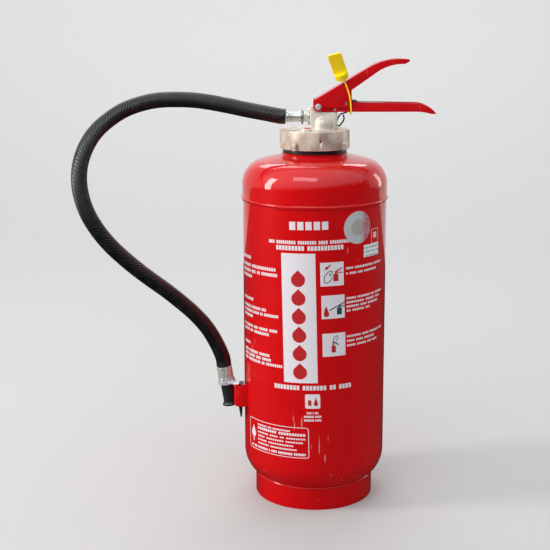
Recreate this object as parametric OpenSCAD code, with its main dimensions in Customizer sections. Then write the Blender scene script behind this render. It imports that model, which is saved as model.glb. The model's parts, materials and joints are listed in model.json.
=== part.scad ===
// Gas-cartridge water extinguisher, 9 litres. Millimetres, Z up, X towards the carry handle's
// tip, Y to the back. The origin is on the cylinder's axis, on the floor.

/* [Shell] */
// Outside radius of the cylinder's wall
shell_r = 87.5; // [70:0.5:110]
// Wall thickness of the cylinder, the dish and the dome
shell_wall = 2; // [1.2:0.1:3]
// Height of the straight wall between the dish and the lap seam
wall_h = 319.4; // [200:1:450]
// Knuckle radius of the dished bottom
dish_knuckle = 37.5; // [20:0.5:45]
// Crown radius of the dished bottom
dish_crown = 188; // [150:1:260]
// Straight skirt of the dome above the lap seam
dome_skirt = 17.6; // [12:0.2:40]
// Knuckle radius of the dome
dome_knuckle = 30; // [12:0.5:38]
// Crown radius of the dome
dome_crown = 250; // [200:1:400]
// Length of the cup's rim that sits inside the dome
lap_h = 13; // [8:0.5:20]
// Radius of the seam's weld bead
bead_r = 1.5; // [0.8:0.1:2.5]

/* [Foot] */
// Outside radius of the foot ring
foot_r = 73.6; // [55:0.2:80]
// Height of the foot ring at its outer face
foot_h = 28.9; // [20:0.1:45]
// Wall thickness of the foot ring
foot_wall = 2.5; // [1.5:0.1:4]

/* [Neck and cap] */
// Outside radius of the neck's thread
neck_r = 36; // [30:0.2:40]
// Wall thickness of the neck
neck_wall = 3; // [2:0.1:4]
// Height of the neck's collar above the dome beside it
collar_h = 2.6; // [1:0.1:10]
// Radius of the neck's collar
collar_r = 39.6; // [37.5:0.1:44]
// Height of the black ring under the cap
ring_h = 5.1; // [3:0.1:8]
// Outside radius of the screw cap
cap_r = 42.2; // [40:0.1:52]
// Height of the screw cap
cap_h = 22.4; // [18:0.2:30]
// Radius of the hole in the cap's top
cap_hole_r = 27; // [22:0.5:30]
// Thickness of the cap's top
cap_top_t = 3.7; // [3:0.1:6]
// Number of wrench lugs, and of vent holes
lug_count = 4; // [3:1:6]
// Width of a wrench lug
lug_w = 6.5; // [4:0.1:9]
// Thickness of the cap's gasket
gasket_t = 2.5; // [1.5:0.1:4]

/* [Valve head] */
// Thickness of the head's clamped flange
flange_t = 3.5; // [2.5:0.1:6]
// Height of the head's lower boss, inside the neck
spigot_h = 15.5; // [12:0.5:24]
// Length of the head's block along the handle
block_l = 30; // [26:0.5:40]
// Depth of the head's block, front to back
block_d = 22; // [20:0.5:23]
// Height of the block above the cap
block_h = 20.9; // [18:0.1:30]
// Radius of the round boss at the block's front
barrel_r = 10.5; // [8:0.1:12]
// Height of the outlet above the cap
outlet_h = 14.7; // [12:0.1:18]
// Radius of the waterway
waterway_r = 3.5; // [2.5:0.1:4]

/* [Levers] */
// Sheet thickness of the lever and the handle
sheet_t = 2; // [1.2:0.1:3]
// Outside width of the carry handle
handle_w = 23; // [20:0.5:30]
// Height of the handle's cheeks at the grip
handle_h = 10; // [8:0.2:16]
// Reach of the handle from the lever's pivot to its tip
handle_reach = 140.7; // [110:0.5:170]
// Side gap between the lever and the handle
cheek_gap = 0.5; // [0.3:0.1:1.5]
// Radius of the pivot rivet
pivot_r = 2.5; // [2:0.1:4]
// Running clearance on radius of pins and of the plunger
run_gap = 0.05; // [0.02:0.01:0.1]
// Slope of the lever's straight part, in degrees
lever_slope = 30.5; // [22:0.5:36]
// Radius of the curve at the lever's grip
grip_curve = 70; // [50:1:100]
// Radius of the safety pin
pin_r = 2; // [1.5:0.1:2.2]
// Radius of the wire of the pin's pull loop
loop_wire_r = 1; // [0.6:0.1:1.5]

/* [Plunger] */
// Radius of the plunger's stem
stem_r = 3; // [2:0.1:4]
// Radius of the plunger's domed head
button_r = 5; // [4:0.1:6]
// Turns of the return spring
spring_turns = 5; // [3:1:8]
// Radius of the spring's wire
spring_wire_r = 0.6; // [0.4:0.05:0.9]

/* [Cartridge and siphon] */
// Radius of the gas cartridge
cartridge_r = 17; // [14:0.5:17.5]
// Length of the gas cartridge's body without its neck
cartridge_l = 150; // [100:1:220]
// Wall of the cage round the cartridge
cage_wall = 1; // [0.6:0.1:1.2]
// Outside radius of the siphon tube
siphon_r = 6; // [5:0.1:7]
// Gap between the strainer and the bottom of the cup
strainer_gap = 5; // [3:0.5:20]

/* [Hose] */
// Radius of the hose
hose_r = 9.4; // [8:0.1:11]
// Length of the bare hose tail
tail_l = 18; // [12:0.5:30]
// Radius of the hose tail
tail_r = 6.3; // [5:0.1:8]

/* [Nozzle and pocket] */
// Lean of the nozzle from the vertical, in degrees
nozzle_lean = 8.75; // [0:0.25:12]
// Distance of the nozzle's clip from the cylinder's wall
nozzle_out = 22.8; // [20:0.1:35]
// Height of the clip above the floor
clip_z = 141; // [125:1:200]
// Radius of the nozzle
nozzle_r = 8.3; // [7:0.1:9.5]
// Length of the nozzle below its clip
nozzle_l = 28.5; // [20:0.5:60]
// Radius of the nozzle's rim
rim_r = 10.2; // [9:0.1:11]
// Length of the ferrule on the hose's end
ferrule_l = 18; // [12:0.5:30]
// How far the pocket stands out from the wall
pocket_out = 11.9; // [9:0.1:20]
// Width of the pocket, front to back
pocket_w = 22; // [18:0.5:30]
// Height of the pocket
pocket_h = 29; // [20:0.5:50]
// Sheet thickness of the pocket
pocket_t = 1.6; // [1:0.1:2.5]
// Width of the tongue, front to back
tongue_w = 12; // [8:0.5:15]
// Length of the tongue below the clip
tongue_l = 43; // [30:0.5:60]

/* [Seal and stickers] */
// Width of the seal's flag
flag_w = 16.5; // [12:0.5:20]
// Length of the seal's flag
flag_l = 27; // [20:0.5:40]
// Radius of the seal's strap
strap_r = 1; // [0.6:0.1:1.2]
// Diameter of the round inspection sticker
sticker_d = 38.5; // [25:0.5:50]
// Width of the batch label along the wall
label_w = 28; // [15:0.5:40]
// Height of the batch label
label_h = 14.6; // [10:0.2:25]

/* [Hidden] */
fine = 96;
small = 40;
sliver = 0.05;
far = 400;

// Height of a dished head above its rim, at radius x
function head_drop(r, k, crown) = sqrt(pow(crown - k, 2) - pow(r - k, 2));
function head_edge(r, k, crown) = (r - k) * crown / (crown - k);
function head_z(r, k, crown, x) = x > head_edge(r, k, crown)
    ? sqrt(k * k - pow(x - (r - k), 2))
    : sqrt(crown * crown - x * x) - head_drop(r, k, crown);
// Points of an arc about c from angle a0 to a1
function arc(c, r, a0, a1, n = 12) =
    [for (i = [0:n]) c + r * [cos(a0 + (a1 - a0) * i / n), sin(a0 + (a1 - a0) * i / n)]];

// Levels of the shell
dish_z = foot_h + head_z(shell_r, dish_knuckle, dish_crown, foot_r);
dish_low_z = dish_z - head_z(shell_r, dish_knuckle, dish_crown, 0);
seam_z = dish_z + wall_h;
lap_gap = 0.2;
dome_step = 0.8;
dome_r = shell_r + dome_step;
dome_z = seam_z + dome_skirt;
dome_neck_z = dome_z + head_z(dome_r, dome_knuckle, dome_crown, collar_r);

// Levels of the neck and cap
neck_bore_r = neck_r - neck_wall;
neck_low_z = dome_neck_z - 11;
collar_z = dome_neck_z + collar_h;
cap_z = collar_z + ring_h;
cap_top = cap_z + cap_h;
shoulder_z = cap_top - cap_top_t;
flange_z = shoulder_z - flange_t;
neck_top_z = flange_z - gasket_t;
spigot_z = flange_z - spigot_h;
thread_gap = 0.2;
flange_r = neck_r - 1.5;
lug_turn = -34;
vent_turn = 9;

// The valve head's places along X
block_x = -5;
plunger_x = 14;
barrel_x = 10.5;
siphon_x = -14;
gallery_x = -1;
block_top = cap_top + block_h;
outlet_z = cap_top + outlet_h;
outlet_r = 10;
outlet_x = block_x - 1;
tongue_top = block_top + 7.4;

// Lever and handle
pivot = [3.8, block_top + 6.6];
handle_z = block_top + 0.3;
handle_in = handle_w - 2 * sheet_t;
head_w = handle_in - 0.4;
lever_in = handle_w + 2 * cheek_gap;
lever_w = lever_in + 2 * sheet_t;
heel = pivot + [-5.4, 7.6];
lobe_r = 5.9;
cheek_x = pivot[0] + 40;
grip_x = pivot[0] + 60.2;
grip_z = heel[1] + (grip_x - heel[0]) * tan(lever_slope);
grip_c = [grip_x + grip_curve * sin(lever_slope), grip_z - grip_curve * cos(lever_slope)];
pin_at = pivot + [33.1, 3.6];
lever_travel = 20;
nose_x = pivot[0] + handle_reach;
pin_tip_y = handle_w / 2 + 0.2;
rivet_gap = 0.3;

// Plunger: it follows the lever's web
plunger_gap = 0.5;
function web_z(turn) = pivot[1]
    + ((heel[1] - pivot[1]) * cos(lever_slope) - (heel[0] - pivot[0]) * sin(lever_slope)
        - sheet_t) / cos(lever_slope - turn)
    + (plunger_x - pivot[0]) * tan(lever_slope - turn);
function button_z(turn) = web_z(turn) - (button_r + plunger_gap) / cos(lever_slope - turn);
plunger_stroke = button_z(0) - button_z(lever_travel);
button_low = button_z(0) - 3.2;
well_r = 6;
well_z = outlet_z - 0.4;
gland_t = 3.5;
socket_r = 8;
cartridge_neck_r = socket_r - 0.1;
socket_top = spigot_z + 5.5;
washer_t = 1.5;
cartridge_top = socket_top - washer_t;
cartridge_seal_z = cartridge_top - 3;
needle_z = cartridge_seal_z + plunger_stroke + 0.3;
cartridge_shoulder_z = spigot_z - 12;
cage_r = cartridge_r + 0.6 + cage_wall;

needle_r = 1.5;
seal_groove_r = 5;
seal_groove_h = 3;
strainer_z = dish_low_z + shell_wall + strainer_gap;

// Hose fitting, along X to the left of the outlet
washer_w = 2.8;
nut_w = 4.7;
plate_w = 2.8;
washer_x = outlet_x - washer_w;
nut_x = washer_x - nut_w;
plate_x = nut_x - plate_w;
tail_x = plate_x - tail_l;

// Handle's fixing rivet, and the pin's place as the lever turns, in the lever
rivet_at = pivot + [20, -3.4];
rivet_r = 1.5;
pin_out_y = lever_w / 2 + 2.8;
pin_reach = norm(pin_at - pivot);
pin_turn = atan2(pin_at[1] - pivot[1], pin_at[0] - pivot[0]);
function slot_x(turn) = pivot[0] + pin_reach * cos(pin_turn + turn);
function slot_z(turn) = pivot[1] + pin_reach * sin(pin_turn + turn);

// Seal and stickers
flag_at = [pivot[0] + 28.2, -13.2, pivot[1] + 34.6];
sticker_z = seam_z - 25;

// Nozzle
nozzle_y = 3;
nozzle_x = -(shell_r + nozzle_out);
clip_t = 4.5;
pocket_y = -19;
pocket_z = clip_z - 23;
tongue_x = -(shell_r + 2.4);
tongue_y = -21;
tongue_top_z = clip_z + 6;

// The hose's route, from the hose tail to the ferrule
hose_route = [[-34.8, 0, 475], [-42, 0, 475.4], [-60, 0, 479], [-81, 0, 483], [-102, 0, 487.5],
    [-123, 0, 491.5], [-144, 0, 494.5], [-166, -1, 495.5], [-187, -4, 495], [-207, -10, 491.5],
    [-226, -20, 485], [-243, -31, 474.5], [-257, -44, 461.5], [-266.5, -58, 445.5],
    [-272, -69, 427], [-273, -76, 407], [-269.5, -80, 387], [-262.5, -80.5, 367.5],
    [-252.5, -77.5, 349], [-240.5, -72, 331.5], [-226.5, -64.5, 315], [-211.5, -56, 299],
    [-196, -47, 284], [-179.5, -37, 268.5], [-163.5, -27, 252], [-148, -17, 234.5],
    [-134, -8, 215], [-123, -1, 193.5], [-115.4, 3, 173.5], [-113.5, 3, 161.4]];
hose_sides = 12;

// A closed tube of n sides along a route of points; side is a direction that the route never takes
function unit(v) = v / norm(v);
function way(p, i) = unit(p[min(i + 1, len(p) - 1)] - p[max(i - 1, 0)]);
function ring(p, i, r, n, side) = let (t = way(p, i), a = unit(cross(t, side)), b = cross(a, t))
    [for (k = [0:n - 1]) p[i] + r * (cos(360 * k / n) * a + sin(360 * k / n) * b)];
module swept(p, r, n, side) {
    m = len(p);
    walls = [for (i = [0:m - 2], k = [0:n - 1])
        [i * n + k, i * n + (k + 1) % n, (i + 1) * n + (k + 1) % n, (i + 1) * n + k]];
    polyhedron([for (i = [0:m - 1]) each ring(p, i, r, n, side)],
        concat([[for (k = [n - 1:-1:0]) k]], walls, [[for (k = [0:n - 1]) (m - 1) * n + k]]));
}

module at(p) { translate(p) children(); }
module along_y(x, z) { translate([x, 0, z]) rotate([90, 0, 0]) children(); }
module along_x(x, z) { translate([x, 0, z]) rotate([0, 90, 0]) children(); }
module tube(r_out, r_in, h) {
    difference() {
        cylinder(r = r_out, h = h, $fn = fine);
        translate([0, 0, -1]) cylinder(r = r_in, h = h + 2, $fn = fine);
    }
}
// Solid made from an outline in X and Z, centred on Y
module slab(w) { rotate([90, 0, 0]) linear_extrude(height = w, center = true) children(); }

// Half section of a dished head, from its rim up
module head_area(r, k, crown) {
    edge = head_edge(r, k, crown);
    intersection() {
        translate([0, -head_drop(r, k, crown)]) circle(r = crown, $fn = 180);
        square([edge, crown]);
    }
    intersection() {
        translate([r - k, 0]) circle(r = k, $fn = fine);
        translate([r - k, 0]) square([k, k]);
    }
    square([r - k, sliver]);
}
module dish_area(inset) {
    translate([0, dish_z]) mirror([0, 1])
        head_area(shell_r - inset, dish_knuckle - inset, dish_crown - inset);
}

// Half section of the cup: the dish and the wall up to height z
module cup_area(inset, z) {
    dish_area(inset);
    translate([0, dish_z - sliver]) square([shell_r - inset, z - dish_z + sliver]);
}
module dome_area(inset, z) {
    translate([0, dome_z])
        head_area(dome_r - inset, dome_knuckle - inset, dome_crown - inset);
    translate([0, z]) square([dome_r - inset, dome_z - z + sliver]);
}

module lower_shell() {
    rim_r = dome_r - shell_wall - lap_gap;
    color("firebrick") rotate_extrude($fn = fine) {
        difference() {
            cup_area(0, seam_z);
            cup_area(shell_wall, seam_z + 1);
        }
        translate([rim_r - shell_wall, seam_z - shell_wall])
            square([shell_r - rim_r + shell_wall - sliver, shell_wall]);
        translate([rim_r - shell_wall, seam_z - sliver]) square([shell_wall, lap_h]);
    }
}

module top_dome() {
    color("firebrick") rotate_extrude($fn = fine) difference() {
        dome_area(0, seam_z + sliver);
        dome_area(shell_wall, seam_z - 1);
        translate([0, dome_z]) square([neck_r + sliver, far]);
    }
}

module seam_weld() {
    color("firebrick") rotate_extrude($fn = fine) difference() {
        translate([dome_r - bead_r / 3, seam_z]) circle(r = bead_r, $fn = small);
        translate([0, seam_z - far]) square([shell_r, far]);
        translate([0, seam_z - sliver]) square([dome_r, far]);
    }
}

module neck_ring() {
    color("firebrick") rotate_extrude($fn = fine) difference() {
        union() {
            translate([neck_bore_r, neck_low_z]) square([neck_wall, neck_top_z - neck_low_z]);
            translate([neck_bore_r, dome_z]) square([collar_r - neck_bore_r, collar_z - dome_z]);
        }
        difference() {
            dome_area(-sliver / 2, seam_z);
            translate([0, seam_z - 1]) square([neck_r, far]);
        }
    }
}

module foot_ring() {
    color("firebrick") rotate_extrude($fn = fine) difference() {
        translate([foot_r - foot_wall, 0]) square([foot_wall, dish_z]);
        dish_area(0);
        translate([0, dish_z - sliver]) square([foot_r + 1, far]);
    }
}

// Folded sheet pocket: an outer plate and two cheeks with a round lower corner, open below
module nozzle_pocket() {
    outer_x = -(shell_r + pocket_out);
    round_r = 4;
    deep = pocket_out + 20;
    color("firebrick") difference() {
        translate([0, pocket_y, pocket_z]) slab(pocket_w) {
            translate([outer_x, round_r]) square([deep, pocket_h - round_r]);
            translate([outer_x + round_r, 0]) square([deep - round_r, round_r + sliver]);
            translate([outer_x + round_r, round_r]) circle(r = round_r, $fn = small);
        }
        translate([outer_x + pocket_t, pocket_y - pocket_w / 2 + pocket_t, 0])
            cube([deep, pocket_w - 2 * pocket_t, far]);
        // the outer plate and the back cheek are lower, so that the clip's arm passes over them
        translate([-far, pocket_y - pocket_w / 2 + pocket_t, clip_z - 1.5])
            cube([far, far, far]);
        cylinder(r = shell_r, h = seam_z, $fn = fine);
    }
}

module neck_seal_ring() {
    color("black") translate([0, 0, collar_z]) tube(collar_r - 1, neck_r + sliver, ring_h);
}

module cap_gasket() {
    color("dimgray") translate([0, 0, neck_top_z]) tube(neck_r - sliver, neck_bore_r, gasket_t);
}

module screw_cap() {
    bevel = 1.2;
    bore_r = neck_r + thread_gap;
    vent_r = 1.25;
    vent_z = cap_z + cap_h / 2;
    lug_h = 9.6;
    lug_out = 2.4;
    lug_base = 1.5;
    color("gainsboro") difference() {
        union() {
            rotate_extrude($fn = fine) polygon([[bore_r, cap_z], [cap_r, cap_z],
                [cap_r, cap_top - bevel], [cap_r - bevel, cap_top], [cap_hole_r, cap_top],
                [cap_hole_r, shoulder_z], [bore_r, shoulder_z]]);
            for (i = [0:lug_count - 1]) rotate([0, 0, lug_turn + i * 360 / lug_count])
                translate([0, -cap_r + lug_base, cap_z]) {
                    translate([-lug_w / 2, -lug_out - lug_base, 0])
                        cube([lug_w, lug_out + lug_base, lug_h - lug_w / 2]);
                    along_y(0, lug_h - lug_w / 2)
                        cylinder(r = lug_w / 2, h = lug_out + lug_base, $fn = small);
                }
        }
        for (i = [0:lug_count - 1]) rotate([0, 0, vent_turn + i * 360 / lug_count])
            along_y(0, vent_z) cylinder(r = vent_r, h = cap_r + 5, $fn = small);
    }
}

module snifter_at() { translate([-9.5, -(cap_hole_r + 6.9), cap_top]) children(); }
module snifter_valve() {
    color("gainsboro") snifter_at() {
        cylinder(r = 5.8, h = 0.8, $fn = small);
        cylinder(r = 6.2, h = 3.8, $fn = 6);
    }
}
module snifter_seal() {
    color("red") snifter_at() translate([0, 0, 3.8]) cylinder(r = 4.4, h = 0.8, $fn = small);
}

module valve_head() {
    color("gainsboro") difference() {
        union() {
            translate([0, 0, flange_z]) cylinder(r = flange_r, h = flange_t, $fn = fine);
            translate([0, 0, shoulder_z - sliver])
                cylinder(r = cap_hole_r - thread_gap, h = cap_top_t + 0.6, $fn = fine);
            translate([0, 0, spigot_z])
                cylinder(r = neck_bore_r - 2.5, h = spigot_h + sliver, $fn = fine);
            translate([block_x, -block_d / 2, cap_top]) cube([block_l, block_d, block_h]);
            translate([block_x, -head_w / 2, cap_top])
                cube([block_l + 2, head_w, tongue_top - cap_top]);
            translate([barrel_x, -8, cap_top]) cylinder(r = barrel_r, h = 6, $fn = fine);
            translate([barrel_x, -8, cap_top + 6]) sphere(r = barrel_r, $fn = fine);
            along_x(outlet_x, outlet_z) cylinder(r = outlet_r, h = 10, $fn = fine);
        }
        // waterway: up from the siphon tube's socket, across, and out to the left
        along_x(outlet_x - 1, outlet_z)
            cylinder(r = waterway_r, h = gallery_x - outlet_x + 1, $fn = small);
        translate([gallery_x, 0, spigot_z + 10])
            cylinder(r = waterway_r, h = outlet_z - spigot_z - 10, $fn = small);
        along_x(siphon_x, spigot_z + 10)
            cylinder(r = waterway_r - 1, h = gallery_x - siphon_x, $fn = small);
        translate([siphon_x, 0, spigot_z - 1])
            cylinder(r = siphon_r + sliver, h = 11, $fn = small);
        // plunger's bore, spring well, seal groove and the cartridge's socket
        translate([plunger_x, 0, spigot_z]) {
            cylinder(r = stem_r + run_gap, h = far, $fn = small);
            translate([0, 0, -1]) cylinder(r = socket_r, h = socket_top - spigot_z + 1, $fn = small);
        }
        translate([plunger_x, 0, well_z]) cylinder(r = well_r, h = far, $fn = small);
        translate([plunger_x, 0, well_z - seal_groove_h])
            cylinder(r = seal_groove_r, h = seal_groove_h + sliver, $fn = small);
        translate([0, far / 2, 0]) along_y(pivot[0], pivot[1])
            cylinder(r = pivot_r, h = far, $fn = small);
        translate([0, far / 2, 0]) along_y(rivet_at[0], rivet_at[1])
            cylinder(r = rivet_r, h = far, $fn = small);
    }
}

module ring_x(x, r_out, r_in, h, sides = 96) {
    along_x(x, outlet_z) difference() {
        cylinder(r = r_out, h = h, $fn = sides);
        translate([0, 0, -1]) cylinder(r = r_in, h = h + 2, $fn = small);
    }
}
module outlet_nut() { color("lightsteelblue") ring_x(washer_x, outlet_r, waterway_r, washer_w); }
module swivel_nut() { color("gainsboro") ring_x(nut_x, 6.1, waterway_r, nut_w, 6); }
module collar_plate() { color("slategray") ring_x(plate_x, 8.7, waterway_r, plate_w); }
module hose_tail() {
    band_w = 2.5;
    color("gainsboro") {
        ring_x(tail_x, tail_r - 0.3, waterway_r, tail_l);
        for (x = [tail_x, plate_x - band_w]) ring_x(x, tail_r, waterway_r, band_w);
    }
}
module hose() { color("black") swept(hose_route, hose_r, hose_sides, [0, 1, 0]); }

// The clip's place on the hose's end, with the nozzle's line as its Z
module clip_frame() {
    translate([nozzle_x, nozzle_y, clip_z]) rotate([0, -nozzle_lean, 0]) children();
}
module end_ferrule() {
    color("gainsboro") clip_frame() translate([0, 0, clip_t / 2])
        tube(hose_r + 0.4, waterway_r + 1, ferrule_l);
}
module clip_plate() {
    arm_t = 2.4;
    arm_w = 11;
    reach = [tongue_x - nozzle_x, tongue_y - nozzle_y];
    color("lightsteelblue") difference() {
        union() {
            clip_frame() translate([0, 0, -clip_t / 2])
                cylinder(r = hose_r + 1.6, h = clip_t, $fn = fine);
            translate([nozzle_x, nozzle_y, clip_z]) rotate([0, 0, atan2(reach[1], reach[0])])
                rotate([0, -atan2(tongue_top_z - clip_z - arm_t, norm(reach)), 0])
                    translate([0, -arm_w / 2, -arm_t / 2]) cube([norm(reach) - 3, arm_w, arm_t]);
        }
        clip_frame() {
            translate([0, 0, -far / 2]) cylinder(r = waterway_r + 1, h = far, $fn = small);
            translate([0, 0, clip_t / 2]) cylinder(r = hose_r + 0.5, h = far, $fn = fine);
            translate([0, 0, -clip_t / 2 - far]) cylinder(r = hose_r, h = far, $fn = fine);
        }
    }
}
// Tapered tongue that hangs in the pocket
module clip_tongue() {
    low_z = tongue_top_z - tongue_l;
    color("black") difference() {
        translate([0, tongue_y, 0]) slab(tongue_w) {
            polygon([[tongue_x - 3.4, tongue_top_z], [tongue_x + 2.6, tongue_top_z],
                [tongue_x + 0.6, tongue_top_z - 8], [tongue_x + 0.6, low_z + 16],
                [tongue_x - 0.2, low_z], [tongue_x - 1.8, low_z],
                [tongue_x - 4.4, low_z + 16], [tongue_x - 5.4, low_z + 34]]);
        }
        clip_plate();
    }
}
module nozzle() {
    rim_h = 3;
    color("black") clip_frame() translate([0, 0, -clip_t / 2 - nozzle_l]) difference() {
        union() {
            translate([0, 0, rim_h]) cylinder(r = nozzle_r, h = nozzle_l - rim_h, $fn = fine);
            cylinder(r = rim_r, h = rim_h + sliver, $fn = fine);
        }
        translate([0, 0, -1]) cylinder(r = waterway_r, h = nozzle_l + 2, $fn = small);
        translate([0, 0, -1]) cylinder(r = waterway_r + 2, h = 9, $fn = small);
    }
}

// Handle: a channel open at the top; its nose bends down to a point
module handle_outline(inset) {
    low = handle_z + inset;
    top_l = pivot[1] + 5.2;
    bend_x = nose_x - 24.5;
    bend_z = handle_z + handle_h;
    top_r = 30.3;
    low_r = 65;
    polygon(concat([[pivot[0] + 4, low], [bend_x, low]],
        arc([bend_x, low - low_r], low_r, 90, 73.5, 4),
        [[nose_x, low - inset - 2.7]],
        arc([bend_x, bend_z - top_r], top_r, 36, 90, 8),
        [[cheek_x, top_l], [pivot[0] + 4, top_l]]));
}
module carry_handle() {
    ear_r = 5.5;
    ear_top = pivot[1] + 7.2;
    color("red") difference() {
        union() {
            slab(handle_w) {
                handle_outline(0);
                translate([pivot[0] + 4.5, handle_z])
                    square([cheek_x - pivot[0] - 6.5, ear_top - handle_z]);
            }
            slab(handle_w) translate(pivot) circle(r = ear_r, $fn = small);
        }
        slab(handle_in) {
            difference() {
                handle_outline(sheet_t);
                translate([nose_x - 14, 0]) square([far, far * 2]);
            }
            translate([-far / 2, handle_z + sheet_t]) square([cheek_x + far / 2, far]);
        }
        // the web is open where the valve head stands up into the channel
        translate([-far + block_x + block_l + 2.5, -handle_in / 2, 0])
            cube([far, handle_in, far * 2]);
        translate([0, far / 2, 0]) {
            along_y(pivot[0], pivot[1]) cylinder(r = pivot_r, h = far, $fn = small);
            along_y(rivet_at[0], rivet_at[1]) cylinder(r = rivet_r, h = far, $fn = small);
            along_y(pin_at[0], pin_at[1]) cylinder(r = pin_r + run_gap, h = far, $fn = small);
        }
    }
}
module handle_rivet() {
    color("silver") translate([0, handle_w / 2, 0]) along_y(rivet_at[0], rivet_at[1])
        cylinder(r = rivet_r, h = handle_w, $fn = small);
}
module pivot_rivet() {
    half = lever_w / 2 + rivet_gap;
    head_t = 1.8;
    color("silver") {
        translate([0, half, 0]) along_y(pivot[0], pivot[1])
            cylinder(r = pivot_r, h = 2 * half, $fn = small);
        for (y = [-half, half + head_t]) translate([0, y, 0]) along_y(pivot[0], pivot[1])
            cylinder(r = pivot_r + 1.1, h = head_t, $fn = small);
    }
}

// Lever: a channel open at the bottom, wide cheeks at the pivot and a curved grip
module lever_outline(inset) {
    tip_turn = 10 - inset;
    heel_in = heel + inset * [sin(lever_slope), -cos(lever_slope)];
    under_c = [grip_c[0] + 5, grip_c[1] + 7.6];
    under_r = grip_curve - 13.6;
    polygon(concat([heel_in],
        arc(grip_c, grip_curve - inset, 90 + lever_slope, 90 - tip_turn, 12),
        [grip_c + (grip_curve - sheet_t - inset / 2) * [sin(tip_turn), cos(tip_turn)]],
        arc(under_c, under_r, 88, 90 + lever_slope + 9, 10),
        [[cheek_x - 0.4, pivot[1] + 19.5], [cheek_x + 0.3, pivot[1] - 0.8]],
        arc(pivot, lobe_r, -12, -180, 12)));
}
module squeeze_lever() {
    color("red") difference() {
        slab(lever_w) lever_outline(0);
        slab(lever_in) {
            for (drop = [0, 3]) translate([0, -drop]) lever_outline(sheet_t);
            translate([-far / 2, 0]) square([far / 2 + heel[0] + 1.5, far * 2]);
            translate([heel[0] - 5, 0]) square([cheek_x + 20, pivot[1] + 6]);
        }
        translate([0, far / 2, 0]) along_y(pivot[0], pivot[1])
            cylinder(r = pivot_r + run_gap, h = far, $fn = small);
        // the near cheek has a round window over the pin's tip, the far cheek an arc slot
        along_y(pin_at[0], pin_at[1]) cylinder(r = pin_r + 0.3, h = far, $fn = small);
        for (turn = [0:2.5:lever_travel]) translate([0, far, 0])
            along_y(slot_x(turn), slot_z(turn)) cylinder(r = pin_r + 0.3, h = far, $fn = small);
    }
}

module safety_pin() {
    length = pin_tip_y + pin_out_y;
    color("silver") {
        translate([0, pin_out_y, 0]) along_y(pin_at[0], pin_at[1])
            cylinder(r = pin_r, h = length, $fn = small);
        translate([0, pin_out_y + 1.8, 0]) along_y(pin_at[0], pin_at[1])
            cylinder(r = pin_r + 0.9, h = 1.8, $fn = small);
    }
}
// Wire loop: from the pin's head down behind the handle, then a hanging teardrop
module pull_loop() {
    y = pin_out_y + 2.9;
    route = [for (p = [[0, -1], [3.5, -6], [4, -11], [0, -13.5], [-5, -15], [-8, -19], [-10, -25],
        [-9.5, -28.5], [-6.5, -29], [-3, -25], [-1, -21], [-2, -16]]) pin_at + p];
    color("black") swept([for (i = [0:len(route) - 1])
        [route[i][0], y + (i > 8 ? 2.3 * (i - 8) / 3 : 0), route[i][1]]],
        loop_wire_r, 8, [0, 1, 0]);
}

// Pull-tight seal: a flag over a short cup that the strap runs into
module seal_frame() {
    translate(flag_at) rotate([34, 0, 0]) rotate([0, -17, 0]) children();
}
module seal_tag() {
    cup_r = flag_w / 2;
    cup_l = 8;
    flag_t = 2.2;
    color("gold") seal_frame() {
        difference() {
            cylinder(r = cup_r, h = cup_l, $fn = small);
            translate([0, 0, -1]) cylinder(r = cup_r - 1.4, h = cup_l - 1, $fn = small);
            translate([0, 0, -1]) cylinder(r = strap_r + 0.2, h = far, $fn = small);
        }
        translate([-flag_w / 2, -flag_t / 2, cup_l - sliver]) cube([flag_w, flag_t, flag_l - 3]);
        translate([-flag_w / 2 + 3, -flag_t / 2, cup_l]) cube([flag_w - 6, flag_t, flag_l]);
        for (x = [-1, 1]) translate([x * (flag_w / 2 - 3), flag_t / 2, cup_l + flag_l - 3])
            rotate([90, 0, 0]) cylinder(r = 3, h = flag_t, $fn = small);
    }
}
module seal_strap() {
    front = -lever_w / 2 - strap_r - 0.3;
    low_z = handle_z - strap_r - 1.3;
    route = [flag_at + [0.4, -0.2, 4], flag_at + [0.2, -0.6, -1], [cheek_x - 9, front, pivot[1] + 30],
        [cheek_x - 5, front, pivot[1] + 20], [cheek_x - 2, front, pivot[1] + 9],
        [cheek_x - 0.8, front, handle_z + 2], [cheek_x - 0.8, front + 2.2, low_z],
        [cheek_x - 0.8, 0, low_z - 0.4], [cheek_x - 0.8, -front - 2.2, low_z],
        [cheek_x - 0.8, -front, handle_z + 2], [cheek_x - 2, -front, pivot[1] + 9],
        [cheek_x - 5, -front, pivot[1] + 20], [cheek_x - 9, -front, pivot[1] + 30]];
    color("yellow") swept(route, strap_r, 8, [1, 0.02, 0.03]);
}

module stop_pad() {
    web_top = handle_z + sheet_t;
    head_z = pivot[1] + 5.2;
    color("black") slab(handle_in - 1) polygon([[cheek_x + 0.6, web_top + sliver],
        [cheek_x + 40, web_top + sliver], [cheek_x + 39, head_z - 1.4], [cheek_x + 7.4, head_z + 0.2],
        [cheek_x + 5.6, head_z + 2], [cheek_x + 0.6, head_z + 2]]);
}

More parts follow.
